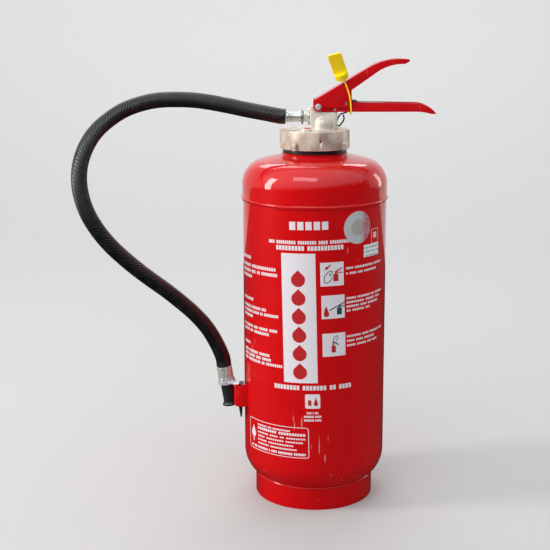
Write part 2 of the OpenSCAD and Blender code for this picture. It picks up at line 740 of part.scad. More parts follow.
module plunger() {
    color("silver") translate([plunger_x, 0, 0]) {
        intersection() {
            translate([0, 0, button_z(0)]) sphere(r = button_r, $fn = fine);
            translate([-far / 2, -far / 2, button_z(0) - sliver]) cube([far, far, far]);
        }
        translate([0, 0, button_low]) cylinder(r = button_r, h = button_z(0) - button_low, $fn = fine);
        translate([0, 0, needle_z + 10])
            cylinder(r = stem_r, h = button_low - needle_z - 10 + sliver, $fn = small);
        translate([0, 0, needle_z + 3])
            cylinder(r = needle_r, h = 7 + sliver, $fn = small);
        translate([0, 0, needle_z]) cylinder(r1 = 0.3, r2 = needle_r, h = 3, $fn = small);
    }
}
module gland_nut() {
    color("goldenrod") translate([plunger_x, 0, well_z]) tube(well_r - sliver, stem_r + run_gap, gland_t);
}
module plunger_seal() {
    wire = (seal_groove_r - stem_r - 0.1) / 2;
    color("dimgray") translate([plunger_x, 0, well_z - seal_groove_h / 2])
        rotate_extrude($fn = fine) translate([seal_groove_r - wire, 0]) circle(r = wire, $fn = small);
}
module plunger_spring() {
    low = well_z + gland_t + spring_wire_r + sliver;
    high = button_low - spring_wire_r - sliver;
    coil_r = (stem_r + button_r) / 2 + 0.3;
    steps = 12 * spring_turns;
    color("silver") swept([for (i = [0:steps]) [plunger_x + coil_r * cos(30 * i), coil_r * sin(30 * i),
        low + (high - low) * i / steps]], spring_wire_r, 6, [0, 0, 1]);
}

module gas_cartridge() {
    shoulder = 12;
    low_z = cartridge_shoulder_z - cartridge_l;
    color("silver") translate([plunger_x, 0, 0]) rotate_extrude($fn = fine) difference() {
        union() {
            translate([0, cartridge_shoulder_z - shoulder])
                head_area(cartridge_r, 6, cartridge_r + 3);
            translate([0, low_z + shoulder])
                square([cartridge_r, cartridge_shoulder_z - low_z - 2 * shoulder]);
            translate([0, low_z + shoulder + sliver]) mirror([0, 1])
                head_area(cartridge_r, 8, cartridge_r + 2);
            translate([0, cartridge_shoulder_z - shoulder])
                square([cartridge_neck_r, cartridge_top - cartridge_shoulder_z + shoulder]);
        }
        translate([0, cartridge_seal_z]) square([3, far]);
        translate([-far, -far]) square([far, 4 * far]);
    }
}
module cartridge_washer() {
    color("tan") translate([plunger_x, 0, cartridge_top]) tube(cartridge_neck_r, 4, washer_t);
}
module cartridge_cage() {
    low_z = cartridge_shoulder_z - cartridge_l - 4;
    rows = 6;
    pitch = (spigot_z - low_z - 20) / rows;
    color("gainsboro") translate([plunger_x, 0, low_z]) difference() {
        cylinder(r = cage_r, h = spigot_z - low_z, $fn = fine);
        translate([0, 0, cage_wall]) cylinder(r = cage_r - cage_wall, h = far, $fn = fine);
        translate([0, 0, -1]) cylinder(r = 6, h = 9, $fn = small);
        for (i = [0:rows - 1], turn = [45, 135]) translate([0, 0, 14 + i * pitch]) rotate([0, 0, turn])
            translate([0, far / 2, 0]) along_y(0, 0) cylinder(r = 3.5, h = far, $fn = small);
    }
}
module siphon_tube() {
    color("white") translate([siphon_x, 0, strainer_z + 6])
        tube(siphon_r, siphon_r - 1.2, spigot_z + 9.9 - strainer_z - 6);
}
module strainer() {
    cup_r = siphon_r + 3;
    cup_h = 22;
    slots = 4;
    color("white") translate([siphon_x, 0, strainer_z]) difference() {
        cylinder(r = cup_r, h = cup_h, $fn = fine);
        translate([0, 0, 6]) cylinder(r = siphon_r + sliver / 2, h = far, $fn = small);
        translate([0, 0, 1.5]) cylinder(r = siphon_r - 1.2, h = far, $fn = small);
        for (i = [0:slots - 1]) translate([0, 0, 2.6]) rotate([0, 0, 180 * i / slots])
            translate([0, 0, 0]) cube([4 * cup_r, 1.4, 2], center = true);
    }
}

module wall_piece(turn) {
    intersection() {
        tube(shell_r + 0.3, shell_r + 0.02, seam_z);
        rotate([0, 0, turn]) translate([0, 0, sticker_z]) children();
    }
}
module inspection_sticker() {
    color("silver") wall_piece(35) along_y(0, 0) cylinder(r = sticker_d / 2, h = far, $fn = fine);
}
module batch_label() {
    color("gray") wall_piece(50) translate([-label_w / 2, -far, -sticker_d / 2 - 17.5])
        cube([label_w, far, label_h]);
}

lower_shell();
top_dome();
seam_weld();
neck_ring();
foot_ring();
nozzle_pocket();
neck_seal_ring();
cap_gasket();
screw_cap();
snifter_valve();
snifter_seal();
valve_head();
outlet_nut();
swivel_nut();
collar_plate();
hose_tail();
hose();
end_ferrule();
clip_plate();
clip_tongue();
nozzle();
carry_handle();
handle_rivet();
squeeze_lever();
pivot_rivet();
safety_pin();
pull_loop();
seal_tag();
seal_strap();
stop_pad();
gland_nut();
plunger_seal();
plunger();
plunger_spring();
gas_cartridge();
cartridge_washer();
cartridge_cage();
siphon_tube();
strainer();
inspection_sticker();
batch_label();
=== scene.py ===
"""Gas-cartridge water extinguisher: the visible pieces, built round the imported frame, in metres."""

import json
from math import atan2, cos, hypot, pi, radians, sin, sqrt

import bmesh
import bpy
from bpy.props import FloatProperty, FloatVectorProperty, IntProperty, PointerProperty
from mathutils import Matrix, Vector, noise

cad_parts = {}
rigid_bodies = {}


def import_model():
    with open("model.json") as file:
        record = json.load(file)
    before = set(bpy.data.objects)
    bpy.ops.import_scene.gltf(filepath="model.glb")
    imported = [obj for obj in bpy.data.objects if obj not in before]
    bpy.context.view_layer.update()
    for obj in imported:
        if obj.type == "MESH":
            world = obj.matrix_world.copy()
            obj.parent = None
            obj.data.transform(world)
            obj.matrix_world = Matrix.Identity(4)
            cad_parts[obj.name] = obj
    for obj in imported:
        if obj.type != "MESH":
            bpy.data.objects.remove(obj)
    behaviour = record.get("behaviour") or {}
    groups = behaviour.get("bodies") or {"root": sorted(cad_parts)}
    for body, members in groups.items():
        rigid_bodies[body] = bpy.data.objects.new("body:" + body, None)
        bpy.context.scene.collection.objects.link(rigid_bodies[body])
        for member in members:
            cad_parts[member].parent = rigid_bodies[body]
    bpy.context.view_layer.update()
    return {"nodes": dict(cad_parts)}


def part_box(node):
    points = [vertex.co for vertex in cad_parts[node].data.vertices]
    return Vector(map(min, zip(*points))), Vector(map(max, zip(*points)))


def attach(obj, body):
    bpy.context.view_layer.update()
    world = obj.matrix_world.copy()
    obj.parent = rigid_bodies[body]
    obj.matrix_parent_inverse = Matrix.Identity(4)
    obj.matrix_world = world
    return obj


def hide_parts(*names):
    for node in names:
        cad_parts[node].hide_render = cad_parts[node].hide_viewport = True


bl_info = {
    "name": "Water Extinguisher Builder",
    "version": (1, 0, 0),
    "blender": (4, 5, 0),
    "location": "View3D > Sidebar > Extinguisher",
    "description": "Builds a water extinguisher's shell, levers, head, hose, seal and stage",
    "category": "Object",
}

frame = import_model()
MM = 0.001


# ---------------------------------------------------------------- places taken from the frame

def low(node, axis):
    """The lowest place of a frame part along an axis."""
    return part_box(node)[0][axis]


def high(node, axis):
    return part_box(node)[1][axis]


def middle(node, axis):
    return (low(node, axis) + high(node, axis)) / 2


X, Y, Z = 0, 1, 2
WALL_R = high("lower_shell", X)
WALL_T = 2 * MM
DOME_R = high("top_dome", X)
SEAM_Z = middle("seam_weld", Z)
FOOT_R = high("foot_ring", X)
CAP_R = 42.2 * MM
CAP_LOW = low("screw_cap", Z)
CAP_TOP = high("screw_cap", Z)

# Route of the hose, from the hose tail to the ferrule on its end
HOSE_ROUTE = [
    (-0.0348, 0, 0.475), (-0.042, 0, 0.4754), (-0.060, 0, 0.479), (-0.081, 0, 0.483),
    (-0.102, 0, 0.4875), (-0.123, 0, 0.4915), (-0.144, 0, 0.4945), (-0.166, -0.001, 0.4955),
    (-0.187, -0.004, 0.495), (-0.207, -0.010, 0.4915), (-0.226, -0.020, 0.485),
    (-0.243, -0.031, 0.4745), (-0.257, -0.044, 0.4615), (-0.2665, -0.058, 0.4455),
    (-0.272, -0.069, 0.427), (-0.273, -0.076, 0.407), (-0.2695, -0.080, 0.387),
    (-0.2625, -0.0805, 0.3675), (-0.2525, -0.0775, 0.349), (-0.2405, -0.072, 0.3315),
    (-0.2265, -0.0645, 0.315), (-0.2115, -0.056, 0.299), (-0.196, -0.047, 0.284),
    (-0.1795, -0.037, 0.2685), (-0.1635, -0.027, 0.252), (-0.148, -0.017, 0.2345),
    (-0.134, -0.008, 0.215), (-0.123, -0.001, 0.1935), (-0.1154, 0.003, 0.1735),
    (-0.1135, 0.003, 0.1614),
]


# ---------------------------------------------------------------- mesh helpers

WELD_GAP = 0.001 * MM
FLAT_TURN = radians(1)


def clean(mesh, flat_turn=0.0):
    """Merges doubled points, joins faces that turn less than flat_turn, turns normals outward."""
    bm = bmesh.new()
    bm.from_mesh(mesh)
    bmesh.ops.remove_doubles(bm, verts=bm.verts, dist=WELD_GAP)
    if flat_turn:
        bmesh.ops.dissolve_limit(bm, angle_limit=flat_turn, verts=bm.verts, edges=bm.edges)
    bmesh.ops.recalc_face_normals(bm, faces=bm.faces)
    bm.to_mesh(mesh)
    bm.free()


def mesh_of(name, shape):
    """A clean mesh of a shape, which is a pair of a list of points and a list of faces."""
    verts, faces = shape
    mesh = bpy.data.meshes.new(name)
    mesh.from_pydata([tuple(v) for v in verts], [], faces)
    clean(mesh)
    return mesh


def add_object(name, data):
    obj = bpy.data.objects.new(name, data)
    bpy.context.scene.collection.objects.link(obj)
    return obj


def make_piece(name, shape, look, body, sharp=40):
    """An object made of a closed shape, with its finish, riding on a body."""
    obj = add_object(name, mesh_of(name, shape))
    obj.data.materials.append(finish(look))
    smooth(obj.data, sharp)
    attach(obj, body)
    return obj


def smooth(mesh, sharp):
    """Shades the mesh smooth, except at edges sharper than the given degrees."""
    mesh.polygons.foreach_set("use_smooth", [True] * len(mesh.polygons))
    mesh.set_sharp_from_angle(angle=radians(sharp))


def join_parts(shapes):
    """One shape from several."""
    verts, faces = [], []
    for part_verts, part_faces in shapes:
        start = len(verts)
        verts += part_verts
        faces += [[start + i for i in f] for f in part_faces]
    return verts, faces


def loft(sections, closed=False):
    """Side faces between closed sections of one length, with end faces unless the loft closes."""
    count = len(sections[0])
    verts = [Vector(p) for s in sections for p in s]
    faces = []
    for i in range(len(sections) if closed else len(sections) - 1):
        a, b = i * count, (i + 1) % len(sections) * count
        for k in range(count):
            n = (k + 1) % count
            faces.append([a + k, a + n, b + n, b + k])
    if not closed:
        faces.append(list(range(count))[::-1])
        faces.append([(len(sections) - 1) * count + k for k in range(count)])
    return verts, faces


def arc(centre, radius, start, end, steps):
    """Points along an arc, with both ends."""
    turns = [start + (end - start) * i / steps for i in range(steps + 1)]
    return [(centre[0] + radius * cos(a), centre[1] + radius * sin(a)) for a in turns]


def revolved(profile, place=Matrix.Identity(4), steps=128):
    """A closed outline of (radius, height) turned about Z, then put in place."""
    rings = []
    for i in range(steps):
        turn = 2 * pi * i / steps
        rings.append([place @ Vector((r * cos(turn), r * sin(turn), z)) for r, z in profile])
    return loft(rings, closed=True)


def rounded(points, radius, steps=4):
    """A closed outline with its corners cut to arcs of the given radius."""
    out = []
    for i, corner in enumerate(points):
        c = Vector(corner)
        before = Vector(points[i - 1]) - c
        after = Vector(points[(i + 1) % len(points)]) - c
        reach = min(radius, before.length * 0.45, after.length * 0.45)
        start, end = c + before.normalized() * reach, c + after.normalized() * reach
        for k in range(steps + 1):
            t = k / steps
            out.append(tuple((1 - t) ** 2 * start + 2 * t * (1 - t) * c + t * t * end))
    return out


def prism(outline, place, depth):
    """A closed outline in the place's X and Y, drawn out along its Z."""
    return loft([[place @ Vector((x, y, z)) for x, y in outline] for z in (0, depth)])


def block(x0, x1, y0, y1, z0, z1):
    outline = [(x0, y0), (x1, y0), (x1, y1), (x0, y1)]
    return prism(outline, Matrix.Translation((0, 0, z0)), z1 - z0)


def spline(points, steps):
    """Points on a smooth curve through the given ones."""
    p = [Vector(q) for q in points]
    p = [2 * p[0] - p[1]] + p + [2 * p[-1] - p[-2]]
    out = []
    for a, b, c, d in zip(p, p[1:], p[2:], p[3:]):
        for k in range(steps):
            t = k / steps
            out.append(0.5 * (2 * b + (c - a) * t + (2 * a - 5 * b + 4 * c - d) * t * t
                              + (3 * b - a - 3 * c + d) * t ** 3))
    return out + [p[-2]]


def evenly(points, gap):
    """The same line with its points about the given gap apart."""
    total = sum((b - a).length for a, b in zip(points, points[1:]))
    count = max(2, round(total / gap))
    out, i, walked = [points[0]], 0, 0.0
    for k in range(1, count):
        target = total * k / count
        while walked + (points[i + 1] - points[i]).length < target:
            walked += (points[i + 1] - points[i]).length
            i += 1
        step = points[i + 1] - points[i]
        out.append(points[i] + step * ((target - walked) / step.length))
    return out + [points[-1]]


def swept(points, sides, radius):
    """A closed tube along points. radius(share, turn) gives its half thickness there."""
    tangent = (points[1] - points[0]).normalized()
    across = tangent.cross(Vector((0, 1, 0.02))).normalized()
    sections = []
    last = len(points) - 1
    for i, p in enumerate(points):
        new = (points[min(i + 1, last)] - points[max(i - 1, 0)]).normalized()
        across = tangent.rotation_difference(new) @ across
        tangent = new
        up = tangent.cross(across)
        ring = []
        for k in range(sides):
            turn = 2 * pi * k / sides
            ring.append(p + radius(i / last, turn) * (cos(turn) * across + sin(turn) * up))
        sections.append(ring)
    return loft(sections)


def apply_modifiers(obj):
    """Makes what the modifiers give the object's own mesh."""
    graph = bpy.context.evaluated_depsgraph_get()
    mesh = bpy.data.meshes.new_from_object(obj.evaluated_get(graph))
    obj.modifiers.clear()
    obj.data = mesh


def cut(obj, shapes):
    """Takes closed shapes out of the object."""
    for shape in shapes:
        cutter = add_object("cutter", mesh_of("cutter", shape))
        modifier = obj.modifiers.new("cut", "BOOLEAN")
        modifier.object = cutter
        modifier.solver = "EXACT"
        apply_modifiers(obj)
        bpy.data.objects.remove(cutter)


def soften(obj, width, sharp=30, segments=2):
    """Rounds the object's sharp edges by a small width."""
    modifier = obj.modifiers.new("soften", "BEVEL")
    modifier.width = width
    modifier.segments = segments
    modifier.limit_method = "ANGLE"
    modifier.angle_limit = radians(sharp)
    apply_modifiers(obj)
    smooth(obj.data, 40)


def melt(obj, voxel, passes, rough=0.0, grain=300.0):
    """Joins overlapping parts into one skin with soft corners, as a casting or a moulding has."""
    remesh = obj.modifiers.new("join", "REMESH")
    remesh.mode = "VOXEL"
    remesh.voxel_size = voxel
    even = obj.modifiers.new("even", "SMOOTH")
    even.iterations = passes
    even.factor = 0.5
    apply_modifiers(obj)
    if rough:
        moves = [v.normal * rough * noise.noise(v.co * grain) for v in obj.data.vertices]
        for v, move in zip(obj.data.vertices, moves):
            v.co += move
    smooth(obj.data, 60)


def take_over(node, name, look, body):
    """A new piece that starts as a clean copy of a frame part and stands in for it."""
    mesh = frame["nodes"][node].data.copy()
    mesh.name = name
    clean(mesh, FLAT_TURN)
    mesh.materials.clear()
    mesh.materials.append(finish(look))
    obj = add_object(name, mesh)
    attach(obj, body)
    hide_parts(node)
    return obj


# ---------------------------------------------------------------- finishes

def set_stops(ramp, stops):
    """Sets a colour ramp's points from (place, colour or grey) pairs."""
    points = ramp.color_ramp.elements
    while len(points) < len(stops):
        points.new(0.5)
    for point, (place, colour) in zip(points, stops):
        point.position = place
        point.color = (*(colour if isinstance(colour, tuple) else [colour] * 3), 1)


class Finish:
    """A procedural material that is built up node by node, in the object's own metres."""

    def __init__(self, name, colour, roughness, **sockets):
        self.material = bpy.data.materials.new(name)
        self.material.use_nodes = True
        self.tree = self.material.node_tree
        self.shader = self.tree.nodes["Principled BSDF"]
        self.shader.inputs["Base Color"].default_value = (*colour, 1)
        self.shader.inputs["Roughness"].default_value = roughness
        for key, value in sockets.items():
            self.shader.inputs[key.replace("_", " ")].default_value = value
        self.place = self.node("ShaderNodeTexCoord").outputs["Object"]

    def node(self, kind, **settings):
        made = self.tree.nodes.new(kind)
        for key, value in settings.items():
            setattr(made, key, value)
        return made

    def link(self, source, target):
        self.tree.links.new(source, target)

    def stretched(self, stretch):
        mapping = self.node("ShaderNodeMapping")
        mapping.inputs["Scale"].default_value = stretch
        self.link(self.place, mapping.inputs["Vector"])
        return mapping.outputs["Vector"]

    def noise(self, scale, detail=3.0, stretch=(1, 1, 1)):
        made = self.node("ShaderNodeTexNoise")
        made.inputs["Scale"].default_value = scale
        made.inputs["Detail"].default_value = detail
        self.link(self.stretched(stretch), made.inputs["Vector"])
        return made.outputs["Fac"]

    def cells(self, scale, stretch=(1, 1, 1)):
        made = self.node("ShaderNodeTexVoronoi")
        made.inputs["Scale"].default_value = scale
        self.link(self.stretched(stretch), made.inputs["Vector"])
        return made.outputs["Distance"]

    def ramp(self, source, *stops):
        """Colours or greys along a value: (place, colour) pairs."""
        made = self.node("ShaderNodeValToRGB")
        set_stops(made, stops)
        self.link(source, made.inputs["Fac"])
        return made.outputs["Color"]

    def step(self, source, start, end):
        return self.ramp(source, (start, 0.0), (end, 1.0))

    def maths(self, operation, a, b):
        made = self.node("ShaderNodeMath", operation=operation)
        for socket, value in zip(made.inputs, (a, b)):
            if isinstance(value, (int, float)):
                socket.default_value = value
            else:
                self.link(value, socket)
        return made.outputs["Value"]

    def coordinate(self, axis):
        made = self.node("ShaderNodeSeparateXYZ")
        self.link(self.place, made.inputs["Vector"])
        return made.outputs[axis]

    def mixed(self, share, a, b):
        """Colour a where share is 0 and colour b where it is 1."""
        made = self.node("ShaderNodeMix", data_type="RGBA")
        self.link(share, made.inputs["Factor"])
        for socket, value in ((made.inputs[6], a), (made.inputs[7], b)):
            if isinstance(value, tuple):
                socket.default_value = (*value, 1)
            else:
                self.link(value, socket)
        return made.outputs[2]

    def colour(self, source):
        self.link(source, self.shader.inputs["Base Color"])
        return self

    def rough(self, source, start, end):
        self.link(self.ramp(source, (0.3, start), (0.7, end)), self.shader.inputs["Roughness"])
        return self

    def bump(self, height, depth, strength=1.0):
        made = self.node("ShaderNodeBump")
        made.inputs["Distance"].default_value = depth
        made.inputs["Strength"].default_value = strength
        self.link(height, made.inputs["Height"])
        if self.shader.inputs["Normal"].links:
            self.link(self.shader.inputs["Normal"].links[0].from_socket, made.inputs["Normal"])
        self.link(made.outputs["Normal"], self.shader.inputs["Normal"])
        return self


def scaled(colour, factor):
    return tuple(min(1.0, c * factor) for c in colour)


def shell_paint(colour):
    """Glossy enamel with a faint orange peel, chips and a worn patch on the right."""
    f = Finish("shell_enamel", colour, 0.4, Coat_Weight=1.0, Coat_Roughness=0.03,
               Specular_IOR_Level=0.1)
    mottled = f.mixed(f.noise(9, 2), scaled(colour, 0.88), scaled(colour, 1.1))
    right = f.step(f.coordinate("X"), 0.045, 0.075)
    worn = f.maths("MULTIPLY", right, f.step(f.noise(14, 2, (1, 1, 0.5)), 0.5, 0.62))
    specks = f.ramp(f.cells(330), (0.0, 1.0), (0.2, 0.0))
    patches = f.maths("MAXIMUM", worn, f.step(f.noise(46, 1), 0.7, 0.74))
    chips = f.maths("MULTIPLY", specks, patches)
    hairs = f.maths("MULTIPLY", f.step(f.noise(260, 1, (1, 1, 0.12)), 0.72, 0.76),
                    f.step(f.noise(17, 1), 0.58, 0.64))
    marks = f.maths("MAXIMUM", chips, f.maths("MULTIPLY", hairs, 0.5))
    f.colour(f.mixed(marks, mottled, (0.78, 0.42, 0.36)))
    f.rough(f.noise(21, 4), 0.34, 0.46)
    return f.bump(f.noise(140, 2), 0.06 * MM, 0.35).bump(marks, 0.1 * MM, 0.3).material


def lever_paint(colour):
    """Thick enamel on pressed sheet, a little orange peel, and wear through to bare metal."""
    f = Finish("lever_enamel", colour, 0.4, Coat_Weight=0.7, Coat_Roughness=0.09,
               Specular_IOR_Level=0.15)
    base = f.mixed(f.noise(30, 3), scaled(colour, 0.8), scaled(colour, 1.15))
    scuffs = f.maths("MULTIPLY", f.step(f.noise(420, 2, (1, 1, 0.25)), 0.68, 0.74),
                     f.step(f.noise(60, 1), 0.56, 0.62))
    f.colour(f.mixed(scuffs, base, (0.34, 0.2, 0.1)))
    f.rough(f.noise(60, 3), 0.26, 0.42)
    return f.bump(f.noise(260, 2), 0.08 * MM, 0.5).bump(scuffs, 0.08 * MM, 0.4).material


def cast_metal(name, light, dark, metallic, roughness, grain):
    """Sand-cast alloy: mottled, with a fine grain."""
    f = Finish(name, light, roughness, Metallic=metallic)
    blotches = f.mixed(f.ramp(f.noise(55, 5), (0.38, 0.0), (0.66, 1.0)), light, dark)
    pits = f.ramp(f.cells(grain), (0.0, 0.75), (0.32, 1.0))
    multiply = f.node("ShaderNodeMix", data_type="RGBA", blend_type="MULTIPLY")
    multiply.inputs["Factor"].default_value = 0.6
    f.link(blotches, multiply.inputs[6])
    f.link(pits, multiply.inputs[7])
    f.colour(multiply.outputs[2])
    f.rough(f.noise(90, 4), roughness - 0.1, roughness + 0.14)
    f.bump(f.noise(grain * 1.3, 3), 0.16 * MM, 0.5)
    return f.bump(f.noise(120, 2), 0.3 * MM, 0.25).material


def plated(name, colour, roughness, stretch=(1, 1, 1), streak=320, metallic=0.8):
    """Plated or turned steel, with streaks along one way and slight stains."""
    f = Finish(name, colour, roughness, Metallic=metallic)
    streaks = f.noise(streak, 3, stretch)
    tone = f.mixed(f.step(streaks, 0.35, 0.68), scaled(colour, 0.72), scaled(colour, 1.12))
    stain = f.step(f.noise(95, 4), 0.56, 0.72)
    f.colour(f.mixed(f.maths("MULTIPLY", stain, 0.5), tone, scaled(colour, 0.5)))
    f.rough(streaks, roughness - 0.08, roughness + 0.12)
    return f.bump(streaks, 0.03 * MM, 0.4).material


def moulded(name, colour, roughness, grain=900, **sockets):
    """Moulded plastic or rubber with a fine grain and a slightly uneven tone."""
    f = Finish(name, colour, roughness, **sockets)
    f.colour(f.mixed(f.noise(70, 3), scaled(colour, 0.82), scaled(colour, 1.2)))
    f.rough(f.noise(150, 3), roughness - 0.06, roughness + 0.1)
    return f.bump(f.noise(grain, 2), 0.05 * MM, 0.5).material


def hose_rubber(colour):
    """Cloth-wrapped rubber: black, with patches of dust."""
    f = Finish("hose_rubber", colour, 0.34, Specular_IOR_Level=0.6)
    dust = f.step(f.noise(120, 5), 0.52, 0.8)
    f.colour(f.mixed(f.maths("MULTIPLY", dust, 0.35), colour, (0.055, 0.058, 0.062)))
    f.rough(f.noise(70, 3), 0.26, 0.44)
    return f.bump(f.noise(1500, 2), 0.05 * MM, 0.5).material


def ink(name, colour):
    """Screen-printed ink: a little thin and broken in places."""
    f = Finish(name, colour, 0.38, Coat_Weight=0.6, Coat_Roughness=0.06)
    worn = f.step(f.noise(420, 4), 0.66, 0.8)
    f.colour(f.mixed(f.maths("MULTIPLY", worn, 0.5), colour, (0.6, 0.1, 0.09)))
    return f.bump(f.noise(380, 2), 0.02 * MM, 0.4).material


def foil_sticker():
    """Foil disc: pale green and silver on the left, worn pink on the right, a plain middle."""
    f = Finish("foil_sticker", (0.7, 0.75, 0.72), 0.3, Metallic=0.35, Coat_Weight=0.5,
               Coat_Roughness=0.1)
    glitter = f.ramp(f.cells(900), (0.0, (0.62, 0.8, 0.72)), (0.35, (0.72, 0.7, 0.82)),
                     (0.7, (0.8, 0.86, 0.8)))
    pink = f.ramp(f.noise(420, 3), (0.35, (0.62, 0.1, 0.12)), (0.6, (0.74, 0.4, 0.5)))
    side = f.step(f.coordinate("X"), 0.0545, 0.0555)
    rim = f.mixed(side, glitter, pink)
    x = f.maths("MULTIPLY", f.maths("SUBTRACT", f.coordinate("X"), 0.0500), 1.25)
    z = f.maths("SUBTRACT", f.coordinate("Z"), middle("inspection_sticker", Z))
    reach = f.maths("SQRT", f.maths("ADD", f.maths("MULTIPLY", x, x), f.maths("MULTIPLY", z, z)), 0)
    disc = f.ramp(reach, (0.0105, 1.0), (0.0112, 0.0))
    middle_tone = f.mixed(side, (0.62, 0.57, 0.52), (0.6, 0.2, 0.22))
    f.colour(f.mixed(disc, rim, middle_tone))
    return f.bump(f.cells(900), 0.05 * MM, 0.3).material


def label_paper():
    """Pale label with faint blue-grey ruled rows."""
    f = Finish("label_paper", (0.78, 0.78, 0.8), 0.5)
    wave = f.node("ShaderNodeTexWave", bands_direction="Z")
    wave.inputs["Scale"].default_value = 62
    wave.inputs["Distortion"].default_value = 1.4
    wave.inputs["Detail"].default_value = 3
    f.link(f.place, wave.inputs["Vector"])
    rows = f.maths("MULTIPLY", f.step(wave.outputs["Fac"], 0.5, 0.7),
                   f.step(f.noise(330, 2), 0.42, 0.5))
    f.colour(f.mixed(rows, (0.78, 0.78, 0.8), (0.25, 0.42, 0.45)))
    return f.bump(f.noise(600, 2), 0.03 * MM, 0.3).material


def seal_plastic(colour):
    """Yellow nylon, waxy, with light passing into it."""
    f = Finish("seal_plastic", colour, 0.36, Subsurface_Weight=0.35, Subsurface_Scale=0.003,
               Coat_Weight=0.2, Coat_Roughness=0.25)
    f.shader.inputs["Subsurface Radius"].default_value = (1.0, 0.5, 0.05)
    f.colour(f.mixed(f.noise(90, 3), scaled(colour, 0.9), scaled(colour, 1.08)))
    f.rough(f.noise(120, 2), 0.3, 0.46)
    return f.bump(f.noise(500, 2), 0.05 * MM, 0.4).material


def floor_finish(name, colour, upper):
    """Pale plain paint, paler up the wall, with a barely uneven tone."""
    f = Finish(name, colour, 0.9)
    tone = f.mixed(f.noise(0.8, 2), scaled(colour, 0.995), scaled(colour, 1.005))
    f.colour(f.mixed(f.step(f.coordinate("Z"), 0.0, 1.0), tone, upper))
    return f.material


MATERIALS = {}


def finish(name):
    """The named finish, made once from the panel's colours."""
    c = bpy.context.scene.extinguisher_colours
    makers = {
        "shell": lambda: shell_paint(tuple(c.shell)),
        "lever": lambda: lever_paint(tuple(c.lever)),
        "cap": lambda: cast_metal("cap_alloy", (0.78, 0.69, 0.58), (0.44, 0.34, 0.27),
                                  0.25, 0.4, 1500),
        "head": lambda: cast_metal("head_alloy", (0.86, 0.82, 0.74), (0.62, 0.56, 0.48),
                                   0.15, 0.38, 1100),
        "rivet": lambda: cast_metal("rivet_steel", (0.62, 0.66, 0.66), (0.42, 0.46, 0.47),
                                    0.35, 0.34, 2400),
        "zinc": lambda: plated("zinc_plate", (0.7, 0.72, 0.68), 0.24, (0.15, 1, 1), metallic=0.6),
        "ferrule": lambda: plated("ferrule_plate", (0.66, 0.7, 0.64), 0.24, (1, 1, 0.08),
                                  420, 0.45),
        "clip": lambda: plated("clip_plate", (0.74, 0.82, 0.88), 0.22, metallic=0.4),
        "dark_zinc": lambda: plated("dark_plate", (0.3, 0.32, 0.34), 0.3),
        "steel": lambda: plated("bright_steel", (0.72, 0.74, 0.74), 0.2),
        "spring": lambda: plated("spring_steel", (0.6, 0.6, 0.62), 0.26),
        "brass": lambda: plated("turned_brass", (0.72, 0.52, 0.22), 0.26),
        "hose": lambda: hose_rubber(tuple(c.hose)),
        "rubber": lambda: moulded("black_rubber", (0.016, 0.017, 0.019), 0.42),
        "fibre": lambda: moulded("gasket_fibre", (0.16, 0.12, 0.09), 0.7),
        "plastic": lambda: moulded("black_plastic", (0.014, 0.015, 0.017), 0.36),
        "wire": lambda: moulded("black_wire", (0.012, 0.012, 0.014), 0.3),
        "red_plastic": lambda: moulded("red_plastic", (0.6, 0.03, 0.03), 0.3, Coat_Weight=0.4),
        "white_plastic": lambda: moulded("white_plastic", (0.7, 0.7, 0.66), 0.4),
        "white_ink": lambda: ink("white_ink", (0.76, 0.72, 0.76)),
        "red_ink": lambda: ink("red_ink", (0.5, 0.008, 0.012)),
        "dark_ink": lambda: ink("dark_ink", (0.02, 0.07, 0.09)),
        "foil": foil_sticker,
        "paper": label_paper,
        "seal": lambda: seal_plastic(tuple(c.seal)),
    }
    for stage in ("floor", "backdrop"):
        makers[stage] = lambda: floor_finish(name, tuple(c.floor), tuple(c.backdrop))
    if name not in MATERIALS:
        MATERIALS[name] = makers[name]()
    return MATERIALS[name]


def repaint(name, *nodes):
    """Gives CAD parts that stay as they are a finish of their own."""
    for node in nodes:
        obj = frame["nodes"][node]
        for slot in obj.material_slots:
            slot.link = "DATA"
            slot.material = finish(name)
        if not obj.material_slots:
            obj.data.materials.append(finish(name))


# ---------------------------------------------------------------- what a user would change

def distance(name, description, millimetres):
    return FloatProperty(name=name, description=description, default=millimetres * MM,
                         unit="LENGTH", precision=5)


def paint(name, description, colour):
    return FloatVectorProperty(name=name, description=description, subtype="COLOR",
                               default=colour, min=0, max=1)


class ExtinguisherSizes(bpy.types.PropertyGroup):
    """Sizes of the pieces that are made here."""

    hose_d: distance("Hose diameter", "Outside diameter of the hose", 18.8)
    rib_depth: distance("Rib depth", "Depth of the hose's wrapped ribs", 0.8)
    rib_starts: IntProperty(name="Rib starts", description="Ribs side by side round the hose",
                            default=14, min=4, max=40)
    rib_lead: distance("Rib lead", "Length in which one rib turns once", 60)
    bead_r: distance("Weld bead radius", "Radius of the seam's weld bead", 1.7)
    print_lift: distance("Print thickness", "Height of the ink over the paint", 0.06)
    strap_r: distance("Strap radius", "Radius of the seal's strap", 1)


class ExtinguisherColours(bpy.types.PropertyGroup):
    """Colours of the main finishes."""

    shell: paint("Shell", "Enamel on the shell", (0.6, 0.0, 0.002))
    lever: paint("Levers", "Enamel on the levers", (0.6, 0.001, 0.005))
    hose: paint("Hose", "Rubber of the hose", (0.006, 0.0066, 0.0078))
    seal: paint("Seal", "Plastic of the seal", (1.0, 0.76, 0.0))
    floor: paint("Floor", "Paint of the floor", (0.49, 0.488, 0.486))
    backdrop: paint("Backdrop", "Paint of the wall behind", (0.9, 0.89, 0.88))


class PieceOperator:
    """What every operator here shares."""

    bl_options = {"REGISTER", "UNDO"}

    @property
    def sizes(self):
        return bpy.context.scene.extinguisher_sizes


# ---------------------------------------------------------------- stage

